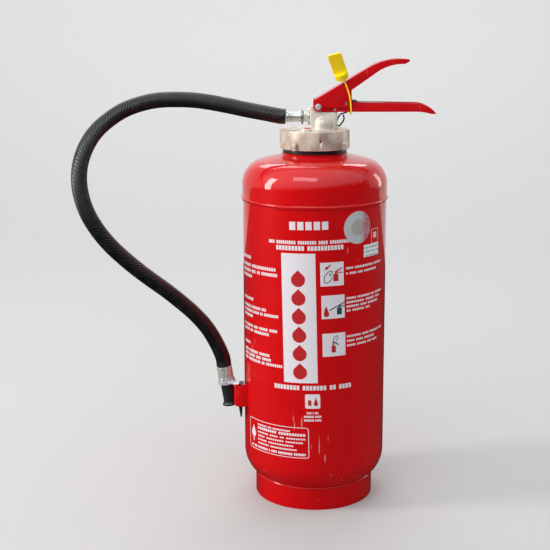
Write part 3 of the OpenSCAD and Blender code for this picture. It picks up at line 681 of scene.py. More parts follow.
CAMERA_AT = (-0.0168, -1.4222, 0.5988)
CAMERA_TURN = radians(1.28)
CAMERA_PITCH = radians(-12.65)
CAMERA_ROLL = radians(-0.24)
CAMERA_LENS, CAMERA_SENSOR = 77.03, 36
CAMERA_REACH = 400

FLOOR_NEAR, FLOOR_FAR, FLOOR_SIDE = -40.0, 1.35, 40.0
WALL_BEND, WALL_RISE = 2.6, 14.0

# The world's brightness by height, leaning a little to one side
SKY_STOPS = ((0.0, (0.02, 0.02, 0.02)), (0.16, (0.05, 0.05, 0.05)), (0.34, (0.62, 0.66, 0.7)),
             (0.7, (0.95, 0.98, 1.0)))
SKY_LEAN, SKY_STRENGTH = -0.2, 1.15

# Name, place, width and height, watts, colour, and the point that the light faces
LIGHTS = (
    ("sky_panel", (-0.6, -1.6, 2.6), (1.6, 0.8), 16, (0.95, 0.97, 1.0), (0, 0, 0.3)),
    ("back_panel", (-0.1, 1.9, 2.3), (2.6, 1.1), 34, (1.0, 0.97, 0.98), (0, 0, 0.42)),
    ("left_panel", (-2.3, -0.5, 1.1), (0.5, 1.8), 40, (1.0, 0.93, 0.86), (0, 0, 0.3)),
    ("right_strip", (2.2, 1.4, 0.8), (0.4, 1.4), 7, (1.0, 0.9, 0.8), (0, 0, 0.3)),
)


def add_light(name, at, size, power, colour, aim):
    light = bpy.data.lights.new(name, "AREA")
    light.shape = "RECTANGLE"
    light.size, light.size_y = size
    light.energy = power
    light.color = colour
    obj = add_object(name, light)
    obj.location = at
    obj.rotation_euler = (Vector(aim) - Vector(at)).to_track_quat("-Z", "Y").to_euler()


def add_stage(name, line):
    """A wide strip that follows a line of (depth, height) points."""
    verts = [(x, y, z) for y, z in line for x in (-FLOOR_SIDE, FLOOR_SIDE)]
    faces = [(2 * i, 2 * i + 1, 2 * i + 3, 2 * i + 2) for i in range(len(line) - 1)]
    mesh = bpy.data.meshes.new(name)
    mesh.from_pydata(verts, [], faces)
    mesh.materials.append(finish(name))
    mesh.shade_smooth()
    obj = add_object(name, mesh)


class EXTINGUISHER_OT_stage(PieceOperator, bpy.types.Operator):
    """Add the camera, the soft lights and the pale floor"""

    bl_idname = "extinguisher.stage"
    bl_label = "Stage"

    def execute(self, context):
        scene = context.scene
        data = bpy.data.cameras.new("camera")
        data.sensor_width = CAMERA_SENSOR
        data.lens = CAMERA_LENS
        data.clip_end = CAMERA_REACH
        camera = add_object("camera", data)
        camera.matrix_world = (Matrix.Translation(CAMERA_AT) @ Matrix.Rotation(CAMERA_TURN, 4, "Z")
                               @ Matrix.Rotation(pi / 2 + CAMERA_PITCH, 4, "X")
                               @ Matrix.Rotation(CAMERA_ROLL, 4, "Z"))
        scene.camera = camera
        scene.view_settings.view_transform = "Standard"

        bend = arc((FLOOR_FAR, WALL_BEND), WALL_BEND, -pi / 2, 0, 40)
        add_stage("floor", [(FLOOR_NEAR, 0), (FLOOR_FAR, 0)])
        add_stage("backdrop", bend + [(FLOOR_FAR + WALL_BEND, WALL_RISE)])
        bpy.data.objects["floor"].visible_glossy = False

        world = bpy.data.worlds.new("studio")
        world.use_nodes = True
        tree = world.node_tree
        sky = tree.nodes["Background"]
        place, split, ramp, lean = (tree.nodes.new("ShaderNode" + kind) for kind in
                                    ("TexCoord", "SeparateXYZ", "ValToRGB", "Math"))
        set_stops(ramp, SKY_STOPS)
        lean.operation = "MULTIPLY_ADD"
        lean.inputs[1].default_value = SKY_LEAN
        for source, target in ((place.outputs["Generated"], split.inputs["Vector"]),
                               (split.outputs["X"], lean.inputs[0]),
                               (split.outputs["Z"], lean.inputs[2]),
                               (lean.outputs["Value"], ramp.inputs["Fac"]),
                               (ramp.outputs["Color"], sky.inputs["Color"])):
            tree.links.new(source, target)
        sky.inputs["Strength"].default_value = SKY_STRENGTH
        scene.world = world
        for light in LIGHTS:
            add_light(*light)
        return {"FINISHED"}


# ---------------------------------------------------------------- hose

HOSE_STEP, HOSE_SIDES = 0.62 * MM, 90
LIP_REACH, LIP_DEPTH = 1.2 * MM, 0.9 * MM
# How fast the ribs rise from the hose's start, the share of its length at which they begin to
# wear, how fast they wear, and the share of their depth that is lost by the end
RIBS_RISE, WEAR_FROM, WEAR_RATE, WEAR_SHARE = 60, 0.72, 6, 0.75


class EXTINGUISHER_OT_hose(PieceOperator, bpy.types.Operator):
    """Build the wrapped rubber hose from the head's outlet to the nozzle's ferrule"""

    bl_idname = "extinguisher.hose"
    bl_label = "Hose"

    def execute(self, context):
        s = self.sizes
        path = evenly(spline(HOSE_ROUTE, 8), HOSE_STEP)
        length = sum((b - a).length for a, b in zip(path, path[1:]))

        def radius(share, turn):
            rib = 0.5 + 0.5 * sin(s.rib_starts * (turn + 2 * pi * share * length / s.rib_lead))
            rising = min(1.0, share * RIBS_RISE)
            worn = max(0.0, min(1.0, (share - WEAR_FROM) * WEAR_RATE))
            depth = s.rib_depth * rising * (1.0 - WEAR_SHARE * worn)
            to_end = min(share, 1 - share) * length
            lip = max(0.0, 1 - to_end / LIP_REACH) ** 2 * LIP_DEPTH
            return s.hose_d / 2 - depth * (1 - rib ** 0.7) - lip

        hose = make_piece("hose_tube", swept(path, HOSE_SIDES, radius), "hose", "root", 60)
        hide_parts("hose")
        ending = [frame["nodes"][n] for n in ("clip_tongue",)]
        ending += [bpy.data.objects[n] for n in ("ferrule", "clip_bracket", "nozzle_tube")]
        return {"FINISHED"}


# The clip's middle on the hose and the tongue's root, in millimetres
CLIP_AT = (-110.3, 3, 141)
TONGUE_AT = (-91.8, -18.8, 144.2)
NOZZLE_LEAN = -radians(8.75)
# The arm from the clip to the tongue: share of its length, rise in millimetres, share of its width
ARM_STATIONS = ((0.2, -0.6, 0.9), (0.34, -0.4, 0.95), (0.5, 0.6, 1), (0.75, 0.2, 1), (1, 0, 1))


class EXTINGUISHER_OT_nozzle(PieceOperator, bpy.types.Operator):
    """Build the ferrule, the clip with its arm and the nozzle on the hose's end"""

    bl_idname = "extinguisher.nozzle"
    bl_label = "Nozzle and clip"

    def execute(self, context):
        at = Vector(CLIP_AT) * MM
        place = Matrix.Translation(at) @ Matrix.Rotation(NOZZLE_LEAN, 4, "Y")
        bore, half = 4.5 * MM, 2.25 * MM

        outer = 9.8 * MM
        top = half + 18 * MM
        skirt = [(bore, half + 0.1 * MM), (outer, half + 0.1 * MM), (outer, half + 3 * MM),
                 (outer - 0.35 * MM, half + 3.8 * MM), (outer - 0.35 * MM, top - 3 * MM),
                 (outer - 0.1 * MM, top - 2.2 * MM), (outer - 0.1 * MM, top), (bore, top)]
        ferrule = make_piece("ferrule", revolved(rounded(skirt, 0.5 * MM), place, 96),
                             "ferrule", "nozzle")
        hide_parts("end_ferrule")

        disc = [(bore, -half), (11 * MM, -half), (11.2 * MM, half + 0.6 * MM),
                (10.3 * MM, half + 0.6 * MM), (10.0 * MM, 0.4 * MM), (bore, 0.4 * MM)]
        arm_t, arm_w = 2.2 * MM, 11 * MM
        end = Vector(TONGUE_AT) * MM
        along = (end - at).normalized()
        across = Vector((0, 0, 1)).cross(along).normalized()
        up = along.cross(across)
        reach = (end - at).length
        arm = []
        for share, rise, width in ARM_STATIONS:
            mid = at + along * reach * share + up * rise * MM
            w = across * arm_w / 2 * width
            t = up * arm_t / 2
            arm.append([mid - w - t, mid + w - t, mid + w + t, mid - w + t])
        shape = join_parts([revolved(rounded(disc, 0.5 * MM), place, 72), loft(arm)])
        clip = make_piece("clip_bracket", shape, "clip", "nozzle")
        soften(clip, 0.35 * MM)
        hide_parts("clip_plate")

        low_end = -half - 28.5 * MM
        tube_r, rim_r, mouth = 8.3 * MM, 10.1 * MM, 3.5 * MM
        barrel = [(mouth, -half - 0.1 * MM), (tube_r, -half - 0.1 * MM),
                  (tube_r - 0.1 * MM, -10 * MM),
                  (tube_r - 0.3 * MM, low_end + 7 * MM), (tube_r + 0.1 * MM, low_end + 3.8 * MM),
                  (rim_r - 0.3 * MM, low_end + 2.4 * MM), (rim_r, low_end + 1 * MM),
                  (rim_r - 0.8 * MM, low_end), (mouth + 2 * MM, low_end), (mouth, low_end + 8 * MM)]
        nozzle = make_piece("nozzle_tube", revolved(rounded(barrel, 0.9 * MM), place, 96),
                            "plastic", "nozzle", 30)
        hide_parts("nozzle")
        repaint("plastic", "clip_tongue")
        return {"FINISHED"}


# ---------------------------------------------------------------- shell

def dished(radius, knuckle, crown, inset=0.0, steps=14):
    """Quarter outline of a dished head, from its rim at height 0 to its middle."""
    r, k, c = radius - inset, knuckle - inset, crown - inset
    edge = (r - k) * c / (c - k)
    drop = sqrt((c - k) ** 2 - (r - k) ** 2)
    meet = atan2(sqrt(c * c - edge * edge), edge)
    out = arc((r - k, 0), k, 0, meet, steps)
    for i in range(1, steps + 1):
        x = edge * (1 - i / steps)
        out.append((x, sqrt(c * c - x * x) - drop))
    return out


# Knuckle and crown radii of the cup's bottom and of the dome
DISH_KNUCKLE, DISH_CROWN = 37.5 * MM, 188 * MM
DOME_KNUCKLE, DOME_CROWN = 30 * MM, 250 * MM
FOOT_H = 28.9 * MM
DOME_SKIRT = 17.6 * MM


class EXTINGUISHER_OT_shell(PieceOperator, bpy.types.Operator):
    """Build the painted cup, the dome, the weld round the seam and the foot ring"""

    bl_idname = "extinguisher.shell"
    bl_label = "Shell"

    def execute(self, context):
        s = self.sizes
        outside = dished(WALL_R, DISH_KNUCKLE, DISH_CROWN)
        inside = dished(WALL_R, DISH_KNUCKLE, DISH_CROWN, WALL_T)
        rim = low("lower_shell", Z) + outside[-1][1]
        top = high("lower_shell", Z)
        lap_r = DOME_R - WALL_T - 0.2 * MM
        profile = [(r, rim - z) for r, z in outside[::-1]]
        levels = 24
        profile += [(WALL_R, rim + (SEAM_Z - rim) * i / levels) for i in range(1, levels + 1)]
        profile += [(lap_r, SEAM_Z), (lap_r, top), (lap_r - WALL_T, top),
                    (lap_r - WALL_T, SEAM_Z - WALL_T), (WALL_R - WALL_T, SEAM_Z - WALL_T)]
        profile += [(r, rim - z) for r, z in inside]
        cup = make_piece("shell_cup", revolved(profile, steps=192), "shell", "root", 35)
        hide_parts("lower_shell")

        neck_r = 36.1 * MM
        rim = SEAM_Z + DOME_SKIRT
        outside, inside = ([p for p in dished(DOME_R, DOME_KNUCKLE, DOME_CROWN, inset, 20)
                            if p[0] > neck_r] for inset in (0, WALL_T))
        profile = [(DOME_R, SEAM_Z + DOME_SKIRT * i / 6) for i in range(6)]
        profile += [(r, rim + z) for r, z in outside]
        profile += [(neck_r, rim + outside[-1][1]), (neck_r, rim + inside[-1][1])]
        profile += [(r, rim + z) for r, z in inside[::-1]] + [(DOME_R - WALL_T, SEAM_Z)]
        dome = make_piece("shell_dome", revolved(profile, steps=192), "shell", "root", 35)
        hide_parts("top_dome")

        rings = []
        steps, sides = 420, 12
        for i in range(steps):
            a = 2 * pi * i / steps
            way = Vector((cos(a), sin(a), 0))
            ripple = noise.noise(way * 26) * 0.35 + noise.noise(way * 7) * 0.45
            size = s.bead_r * (1 + 0.28 * ripple)
            wander = 0.4 + 1.1 * noise.noise(way * 4.0) + 0.35 * noise.noise(way * 34)
            height = SEAM_Z + wander * MM
            centre = way * (DOME_R - 0.55 * MM) + Vector((0, 0, height))
            ring = []
            for k in range(sides):
                b = 2 * pi * k / sides
                ring.append(centre + way * size * cos(b) + Vector((0, 0, size * 1.25 * sin(b))))
            rings.append(ring)
        weld = make_piece("seam_bead", loft(rings, closed=True), "shell", "root", 60)
        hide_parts("seam_weld")

        thick = 2.5 * MM
        joint_z = high("foot_ring", Z)
        section = rounded([(FOOT_R - thick, 0), (FOOT_R, 0), (FOOT_R, FOOT_H - 1.2 * MM),
                           (FOOT_R - thick * 0.4, joint_z), (FOOT_R - thick, joint_z)], 0.8 * MM)
        foot = make_piece("foot_hoop", revolved(section, steps=160), "shell", "root", 35)
        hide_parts("foot_ring")
        repaint("shell", "neck_ring")
        return {"FINISHED"}


class EXTINGUISHER_OT_pocket(PieceOperator, bpy.types.Operator):
    """Build the folded sheet pocket that the nozzle's tongue drops into"""

    bl_idname = "extinguisher.pocket"
    bl_label = "Nozzle pocket"

    def execute(self, context):
        lo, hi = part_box("nozzle_pocket")
        sheet = 1.6 * MM
        fold = 3.2 * MM
        front, back = lo[Y], hi[Y]
        face = lo[X]
        inset = 0.8 * MM
        edges = (front, front + sheet, back - sheet, back)
        wall_x = {y: -sqrt((WALL_R - inset) ** 2 - y * y) for y in edges}

        def outline(z, tuck):
            """The bent strip's edge at one height, with its outer fold drawn in by tuck."""
            x = face + tuck

            def bend(y, side, r):
                return arc((x + fold, y), r, pi, pi + side * pi / 2, 5)

            out = [(wall_x[front], front)] + bend(front + fold, 1, fold)[::-1]
            out += bend(back - fold, -1, fold) + [(wall_x[back], back)]
            out += [(wall_x[back - sheet], back - sheet)]
            out += bend(back - fold, -1, fold - sheet)[::-1]
            out += bend(front + fold, 1, fold - sheet) + [(wall_x[front + sheet], front + sheet)]
            return [Vector((px, py, z)) for px, py in out]

        corner, steps = 4 * MM, 6
        sections = []
        for k in range(steps + 1):
            a = pi / 2 * k / steps
            sections.append(outline(lo[Z] + corner * (1 - cos(a)), corner * (1 - sin(a))))
        sections.append(outline(hi[Z], 0.0))
        pocket = make_piece("pocket_sheet", loft(sections), "shell", "root", 50)
        clear_z = middle("clip_plate", Z) - 4.2 * MM
        above, beside = 0.2, 5 * MM
        cut(pocket, [block(-0.12, -0.07, front + sheet, 0.02, clear_z, above),
                     block(-0.0935, -0.0905, front - beside, front + beside,
                           hi[Z] - 2.2 * MM, above)])
        soften(pocket, 0.25 * MM)
        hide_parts("nozzle_pocket")
        return {"FINISHED"}


# ---------------------------------------------------------------- printing

# The print's turn round the shell, its lean and its rise; lengths are in millimetres
PRINT_TURN = radians(-3.4)
PRINT_LEAN = 0.0228
PRINT_RISE = 0.02
PRINT_MID_Z = 250
PRINT_STRIP = 3.0
PRINT_SUNK = 0.03 * MM


def on_wall(u, z, lift):
    """A place on the print, in millimetres across and up, as a point on the wall."""
    across = u - PRINT_LEAN * (z - PRINT_MID_Z)
    height = z + PRINT_RISE * u
    turn = PRINT_TURN + across * MM / WALL_R
    r = WALL_R + lift
    return Vector((r * sin(turn), -r * cos(turn), height * MM))


def printed(name, shapes, look, lift):
    """Flat shapes in millimetres, cut into narrow strips and wrapped on the wall as thin ink."""
    bm = bmesh.new()
    for shape in shapes:
        bm.faces.new([bm.verts.new((u, z, 0)) for u, z in shape])
    edge = min(v.co.x for v in bm.verts)
    last = max(v.co.x for v in bm.verts)
    while edge < last:
        edge += PRINT_STRIP
        parts = bm.verts[:] + bm.edges[:] + bm.faces[:]
        bmesh.ops.bisect_plane(bm, geom=parts, plane_co=(edge, 0, 0), plane_no=(1, 0, 0))
    bmesh.ops.recalc_face_normals(bm, faces=bm.faces)
    for v in bm.verts:
        v.co = on_wall(v.co.x, v.co.y, lift)
    bm.normal_update()
    bmesh.ops.solidify(bm, geom=bm.faces[:], thickness=lift + PRINT_SUNK)
    mesh = bpy.data.meshes.new(name)
    bm.to_mesh(mesh)
    bm.free()
    obj = add_object(name, mesh)
    mesh.materials.append(finish(look))
    smooth(mesh, 30)
    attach(obj, "root")
    return obj


def bar(u0, u1, z0, z1):
    return [(u0, z0), (u1, z0), (u1, z1), (u0, z1)]


def rounded_bar(u0, u1, z0, z1, radius):
    return rounded(bar(u0, u1, z0, z1), radius, 5)


def frame_line(u0, u1, z0, z1, radius, width):
    """A thin rounded outline, as four-sided pieces."""
    outer = rounded_bar(u0, u1, z0, z1, radius)
    inner = rounded_bar(u0 + width, u1 - width, z0 + width, z1 - width, radius - width)
    count = len(outer)
    return [[outer[i - 1], outer[i], inner[i], inner[i - 1]] for i in range(count)]


GROUP_GAP = 0.8


def row(u0, u1, z, height, words):
    """A row of plain blocks, grouped by the number of blocks in each group."""
    total = sum(words) + GROUP_GAP * (len(words) - 1)
    pitch = (u1 - u0) / total
    shapes, u = [], u0
    for count in words:
        for i in range(count):
            shapes.append(bar(u + 0.1 * pitch, u + 0.86 * pitch, z, z + height))
            u += pitch
        u += GROUP_GAP * pitch
    return shapes


def drop(u, z, width, height):
    """A water drop standing on its round end."""
    r = width / 2
    return arc((u, z + r), r, 0.83 * pi, 2.17 * pi, 14) + [(u, z + height)]


def little_extinguisher(u, z, scale):
    """A plain cylinder with a neck and two levers, for a picture."""
    def part(a, b, c, d):
        return bar(u + a * scale, u + b * scale, z + c * scale, z + d * scale)
    lever = [(0, 10.4), (6.5, 13.4), (7, 12.6), (1.2, 9.6)]
    handle = [(0, 9.6), (7, 8.6), (6.6, 7.8), (0, 8.6)]
    shapes = [part(-2.6, 2.6, 0, 7.2), part(-0.9, 0.9, 7.2, 10.2)]
    return shapes + [[(u + a * scale, z + b * scale) for a, b in line] for line in (lever, handle)]


def arrow(u, z, length, turn, width=2.2):
    ends = [(0, width / 3), (length * 0.55, width / 3), (length * 0.55, width), (length, 0),
            (length * 0.55, -width), (length * 0.55, -width / 3), (0, -width / 3)]
    return [(u + x * cos(turn) - y * sin(turn), z + x * sin(turn) + y * cos(turn)) for x, y in ends]


def ribbon(points, width):
    """A thick line through points, as four-sided pieces."""
    shapes = []
    for (u0, z0), (u1, z1) in zip(points, points[1:]):
        length = hypot(u1 - u0, z1 - z0)
        nu, nz = -(z1 - z0) / length * width / 2, (u1 - u0) / length * width / 2
        shapes.append([(u0 - nu, z0 - nz), (u1 - nu, z1 - nz),
                       (u1 + nu, z1 + nz), (u0 + nu, z0 + nz)])
    return shapes


PICTURES = ((12.3, 285), (13, 245.6), (13.4, 199.6))
PICTURE_SIZE = 28.2

# Left edge, height of the first row, height of a block and step down, then each row's right edge
# and the number of blocks in each of its groups
PARAGRAPHS = (
    (43.6, 303.2, 2.6, 6.2, ((104, (4, 12, 7)), (92, (1, 4, 3, 9)))),
    (43.6, 267.0, 2.6, 5.0,
     ((106, (6, 9, 3, 7)), (100, (8, 5, 3)), (96, (7, 4, 8)), (80, (2, 6, 3)))),
    (43.6, 220.6, 2.6, 5.6, ((108, (9, 5, 8, 4)), (88, (4, 4, 7)), (94, (5, 6, 3, 4)))),
    (-112, 310.5, 3.8, 6, ((-86, (8,)),)),
    (-112, 301.0, 3.8, 6.6, ((-42, (7, 12)), (-40, (8, 3, 2, 8)), (-84, (6,)))),
    (-111, 260.0, 3.4, 6, ((-82, (6,)),)),
    (-111, 250.5, 3.4, 5.8, ((-58, (9, 7, 3)), (-40, (2, 8, 5, 2, 9)), (-84, (5,)))),
    (-111, 226.5, 3.4, 5.6, ((-42, (2, 6, 3, 5, 4)), (-54, (5, 2, 8)))),
    (-110, 204.5, 3.2, 5.6, ((-92, (4,)),)),
    (-110, 195.0, 3.4, 5.4, ((-54, (4, 7, 6)), (-52, (4, 5, 3, 5)), (-36, (4, 10, 2, 9)))),
)

# The framed panel's rows: right edge, blocks in each group, height of a block
PANEL_ROWS = ((-28, (8, 3, 12), 2), (-9, (9, 10), 3.2), (-9, (6, 4, 2, 8), 2), (-12, (4, 8, 7), 2),
              (-24, (5, 11), 2), (-20, (7, 13), 2))

# Lines drawn in the pictures, from each one's lower left corner
PULLED_LOOP = ((15, 18), (9.5, 17), (5, 12), (4.2, 5), (7.5, 3.4), (12, 6.4), (14.6, 10))
LOOP_TAIL = ((15, 16), (10.4, 13.4), (13.4, 12))
AIMED_HOSE = ((9.5, 10), (15, 13), (23.5, 16.5))
GRIP = ((13, 17.5), (18.4, 14.8), (19, 13))
RAISED_HOSE = ((13, 18), (14, 23), (17.5, 25), (18.6, 22), (16, 18))


class EXTINGUISHER_OT_print(PieceOperator, bpy.types.Operator):
    """Wrap the printed layout round the front: plain panels, rows of blocks and simple pictures"""

    bl_idname = "extinguisher.print"
    bl_label = "Printing"

    def execute(self, context):
        lift = self.sizes.print_lift
        white = row(-24, 24, 352, 9.6, (5,))
        white += row(-51, 49, 335.2, 4, (3, 9, 8, 4, 9)) + row(-41, 41, 327.8, 5.4, (9, 11))
        white.append(bar(-34.2, 6.9, 167.5, 324.3))
        for u, z in PICTURES:
            white.append(bar(u, u + PICTURE_SIZE, z, z + PICTURE_SIZE))
        for u, z, height, pitch, rows in PARAGRAPHS:
            for i, (end, words) in enumerate(rows):
                white += row(u, end, z - i * pitch, height, words)
        white += row(-48, 49, 158.5, 5.6, (8, 7, 2, 4))
        white.append(rounded_bar(-8.6, 9.4, 135.8, 153.6, 2.2))
        for i, words in enumerate(((4, 1, 3), (8, 5), (8, 5))):
            reach = 7 if i == 0 else 10.5
            white += row(-reach, reach, 128.8 - i * 4.6, 2.6, words)
        white += frame_line(-97, -5, 72.5, 111.5, 4, 0.8)
        for i, (end, words, height) in enumerate(PANEL_ROWS):
            white += row(-78, end, 105 - i * 4.7, height, words)
        white += row(-92, -9, 75.5, 3, (2, 3, 8, 1, 4, 9, 7))
        white += [drop(-87, 88, 9.5, 15), bar(-88, -86, 82.5, 88.5)]
        white += frame_line(82.5, 96.5, 328.5, 346, 1.5, 0.5) + row(86, 93, 335, 7, (2,))
        printed("print_white", white, "white_ink", lift)

        red = [drop(-14, 172 + 22.5 * i, 17, 20) for i in range(6)]
        u, z = PICTURES[0]
        red += little_extinguisher(u + 18.5, z + 5.5, 1.2)
        red.append(arrow(u + 12.5, z + 25.5, 9.5, radians(218)))
        u, z = PICTURES[1]
        red += [drop(u + 5.8, z + 2.4, 6.4, 13), drop(u + 4.2, z + 5, 3, 11)]
        u, z = PICTURES[2]
        red += [bar(u + 10.8, u + 16, z + 4.6, z + 12.8), bar(u + 12, u + 13.8, z + 12.8, z + 18)]
        red += [bar(-5.2, -1.2, 139.5, 146.2), drop(4.2, 139, 5.2, 10.5)]
        printed("print_red", red, "red_ink", 2.4 * lift)

        dark = []
        for (u, z), line, width in ((PICTURES[0], PULLED_LOOP, 0.9), (PICTURES[0], LOOP_TAIL, 0.9),
                                    (PICTURES[1], AIMED_HOSE, 1.2), (PICTURES[2], GRIP, 1.5),
                                    (PICTURES[2], RAISED_HOSE, 0.8)):
            dark += ribbon([(u + a, z + b) for a, b in line], width)
        u, z = PICTURES[1]
        dark += little_extinguisher(u + 21.5, z + 4.5, 1.15)
        printed("print_dark", dark, "dark_ink", 2.4 * lift)
        repaint("foil", "inspection_sticker")
        repaint("paper", "batch_label")
        return {"FINISHED"}


# ---------------------------------------------------------------- cap and head

LUG_TURN = radians(-34)
VENT_TURN = radians(9)
VENT_R = 1.25 * MM
LUG_HALF, LUG_FOOT, LUG_ROUND_Z = 3.3 * MM, 0.1 * MM, 6.3 * MM
# Each lug's sections: millimetres outside the cap, and share of the outline's size
LUG_STATIONS = ((-2.4, 1.08), (-0.1, 1.08), (0.9, 0.98), (2.0, 0.93), (2.5, 0.78))


class EXTINGUISHER_OT_cap(PieceOperator, bpy.types.Operator):
    """Build the cast screw cap with its lugs and vents, and the rubber ring under it"""

    bl_idname = "extinguisher.cap"
    bl_label = "Screw cap"

    def execute(self, context):
        bore, top_hole, shoulder = 36.25 * MM, 27.05 * MM, CAP_TOP - 3.7 * MM
        section = [(bore, CAP_LOW), (CAP_R, CAP_LOW), (CAP_R, CAP_TOP - 0.3 * MM),
                   (CAP_R - 1.4 * MM, CAP_TOP), (top_hole, CAP_TOP), (top_hole, shoulder),
                   (bore, shoulder)]
        cap = make_piece("cap_casting", revolved(rounded(section, 0.7 * MM), steps=160),
                         "cap", "root", 35)
        outline = [(-LUG_HALF, LUG_FOOT), (LUG_HALF, LUG_FOOT)]
        outline += arc((0, LUG_ROUND_Z), LUG_HALF, 0, pi, 10)
        lugs = []
        for k in range(4):
            way = Matrix.Rotation(LUG_TURN - pi / 2 + k * pi / 2, 4, "Z")
            lugs.append(loft([[way @ Vector((CAP_R + out * MM, y * share, CAP_LOW + z * share))
                               for y, z in outline] for out, share in LUG_STATIONS]))
        grips = make_piece("cap_lugs", join_parts(lugs), "cap", "root", 50)
        middle_z = Matrix.Translation((0, 0, middle("screw_cap", Z)))
        inner, outer = bore - 3 * MM, CAP_R + 3 * MM
        drill = [(0, inner), (VENT_R, inner), (VENT_R, outer), (0, outer)]
        vents = []
        for k in range(4):
            turn = Matrix.Rotation(VENT_TURN - pi / 2 + k * pi / 2, 4, "Z")
            vents.append(revolved(drill, turn @ middle_z @ Matrix.Rotation(pi / 2, 4, "Y"), 24))
        cut(cap, vents)
        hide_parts("screw_cap")

        lo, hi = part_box("neck_seal_ring")
        reach = hi[X]
        inner = 36.2 * MM
        section = [(inner, lo[Z]), (reach, lo[Z]), (reach, hi[Z]), (inner, hi[Z])]
        ring = make_piece("neck_rubber", revolved(rounded(section, 1.3 * MM, 5), steps=128),
                          "rubber", "root", 40)
        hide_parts("neck_seal_ring")
        return {"FINISHED"}


# Frame part, piece, finish, slot, and rounding in millimetres
FITTINGS = (
    ("outlet_nut", "outlet_ring", "zinc", "zinc", 0.5),
    ("swivel_nut", "swivel_hex", "head", "cast_head", 0.5),
    ("collar_plate", "collar_disc", "dark_zinc", "dark_zinc", 0.4),
    ("hose_tail", "hose_shank", "zinc", "zinc", 0.4),
    ("snifter_valve", "snifter_hex", "head", "brass", 0.5),
    ("snifter_seal", "snifter_disc", "red_plastic", "red_plastic", 0.2),
)


class EXTINGUISHER_OT_head(PieceOperator, bpy.types.Operator):
    """Build the cast head with soft corners and the turned fittings on its outlet"""

    bl_idname = "extinguisher.head"
    bl_label = "Cast head"

    def execute(self, context):
        casting = take_over("valve_head", "head_casting", "head", "root")
        melt(casting, 0.55 * MM, 6, 0.12 * MM, 420)
        for node, name, look, slot, width in FITTINGS:
            soften(take_over(node, name, look, "root"), width * MM)
        repaint("brass", "gland_nut")
        repaint("zinc", "cartridge_cage")
        repaint("steel", "plunger", "gas_cartridge")
        repaint("spring", "plunger_spring")
        repaint("rubber", "plunger_seal")
        repaint("fibre", "cap_gasket", "cartridge_washer")
        repaint("white_plastic", "siphon_tube", "strainer")
        return {"FINISHED"}


class EXTINGUISHER_OT_levers(PieceOperator, bpy.types.Operator):
    """Build the squeeze lever and the carry handle with rounded folds, their rivets and the pin"""

    bl_idname = "extinguisher.levers"
    bl_label = "Levers and pin"

    def execute(self, context):
        for node, name, body, width in (("squeeze_lever", "lever_sheet", "lever", 1.6),
                                        ("carry_handle", "handle_sheet", "root", 1.2)):
            soften(take_over(node, name, "lever", body), width * MM, 30, 3)
        # The stop pad is a black rubber stop. Its thin black rail along the handle's top is painted
        # shade: a dark strip standing in for the shadow in the gap under the lever
        for node, name, look, body, slot, width in (
                ("pivot_rivet", "pivot_stud", "rivet", "root", "steel", 0.6),
                ("handle_rivet", "handle_stud", "rivet", "root", "steel", 0.4),
                ("safety_pin", "pin_shank", "rivet", "pin", "steel", 0.5),
                ("stop_pad", "grip_pad", "plastic", "root", "black_plastic", 0.7)):
            soften(take_over(node, name, look, body), width * MM)
        return {"FINISHED"}


# Bends of the pull loop from the pin's end, and places on the strap, in millimetres
LOOP_BENDS = ((0, -1), (3.5, -6), (4, -11), (0, -13.5), (-5, -15), (-8, -19), (-10, -25),
              (-9.5, -28.5), (-6.5, -29), (-3, -25), (-1, -21), (-2, -16))
STRAP_SIDE = ((34.8, -15.3, 517.3), (38.8, -15.3, 507.3), (41.8, -15.3, 496.3), (43, -15.3, 483),
              (43, -13.1, 478.7))
STRAP_RUN = (*STRAP_SIDE, (43, 0, 478.3), *((x, -y, z) for x, y, z in STRAP_SIDE[::-1]))
BEAD_PITCH = 2.4 * MM
WIRE_R = 0.95 * MM
FLAG_AT = (32.0, -13.2, 521.9)


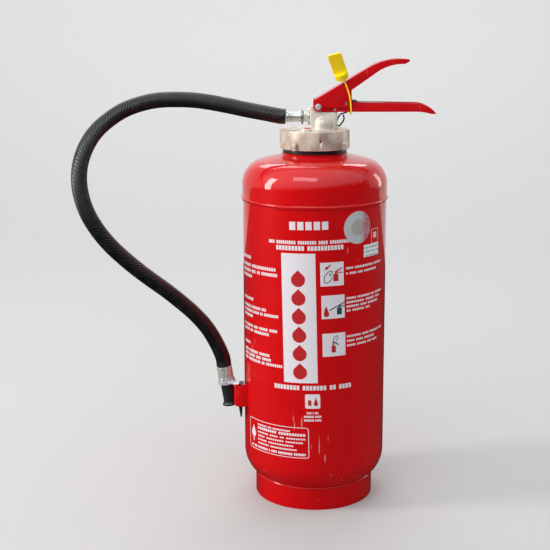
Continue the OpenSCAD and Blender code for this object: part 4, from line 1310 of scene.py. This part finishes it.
class EXTINGUISHER_OT_seal(PieceOperator, bpy.types.Operator):
    """Build the yellow seal with its beaded strap, and the pin's black pull loop"""

    bl_idname = "extinguisher.seal"
    bl_label = "Seal and pull loop"

    def execute(self, context):
        flag = take_over("seal_tag", "seal_flag", "seal", "lever")
        melt(flag, 0.4 * MM, 4)
        size = self.sizes.strap_r
        start = Vector(FLAG_AT)
        run = [start + Vector((0.4, -0.2, 4)), start + Vector((0.2, -0.6, -1))]
        run += [Vector(p) for p in STRAP_RUN]
        path = evenly(spline([p * MM for p in run], 6), 0.3 * MM)
        length = sum((b - a).length for a, b in zip(path, path[1:]))

        def beaded(share, turn):
            wave = 0.5 + 0.5 * cos(2 * pi * share * length / BEAD_PITCH)
            return size * (0.72 + 0.28 * wave ** 0.6)

        strap = make_piece("seal_cord", swept(path, 14, beaded), "seal", "lever", 60)
        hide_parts("seal_strap")

        pin = Vector((middle("safety_pin", X), 19.7 * MM, middle("safety_pin", Z)))
        bends = []
        for i, (x, z) in enumerate(LOOP_BENDS):
            back = 2.3 / 3 * max(0, i - 8)
            bends.append(pin + Vector((x, back, z)) * MM)
        shape = swept(evenly(spline(bends, 6), 0.5 * MM), 14, lambda share, turn: WIRE_R)
        loop = make_piece("pull_wire", shape, "wire", "pin", 60)
        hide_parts("pull_loop")
        return {"FINISHED"}


# ---------------------------------------------------------------- panel

PIECES = ("stage", "nozzle", "hose", "shell", "pocket", "print", "cap", "head", "levers", "seal")


class EXTINGUISHER_PT_panel(bpy.types.Panel):
    """Lists the sizes, the colours and the pieces"""

    bl_label = "Water Extinguisher"
    bl_idname = "EXTINGUISHER_PT_panel"
    bl_space_type = "VIEW_3D"
    bl_region_type = "UI"
    bl_category = "Extinguisher"

    def draw(self, context):
        for group in (context.scene.extinguisher_sizes, context.scene.extinguisher_colours):
            box = self.layout.box()
            for key in group.__annotations__:
                box.prop(group, key)
        for piece in PIECES:
            self.layout.operator("extinguisher." + piece)


CLASSES = (
    ExtinguisherSizes, ExtinguisherColours, EXTINGUISHER_OT_stage, EXTINGUISHER_OT_nozzle,
    EXTINGUISHER_OT_hose, EXTINGUISHER_OT_shell, EXTINGUISHER_OT_pocket, EXTINGUISHER_OT_print,
    EXTINGUISHER_OT_cap, EXTINGUISHER_OT_head, EXTINGUISHER_OT_levers, EXTINGUISHER_OT_seal,
    EXTINGUISHER_PT_panel,
)


def register():
    for cls in CLASSES:
        bpy.utils.register_class(cls)
    bpy.types.Scene.extinguisher_sizes = PointerProperty(type=ExtinguisherSizes)
    bpy.types.Scene.extinguisher_colours = PointerProperty(type=ExtinguisherColours)


def unregister():
    del bpy.types.Scene.extinguisher_colours
    del bpy.types.Scene.extinguisher_sizes
    for cls in reversed(CLASSES):
        bpy.utils.unregister_class(cls)


def main():
    register()
    for piece in PIECES:
        getattr(bpy.ops.extinguisher, piece)()


if __name__ == "__main__":
    main()
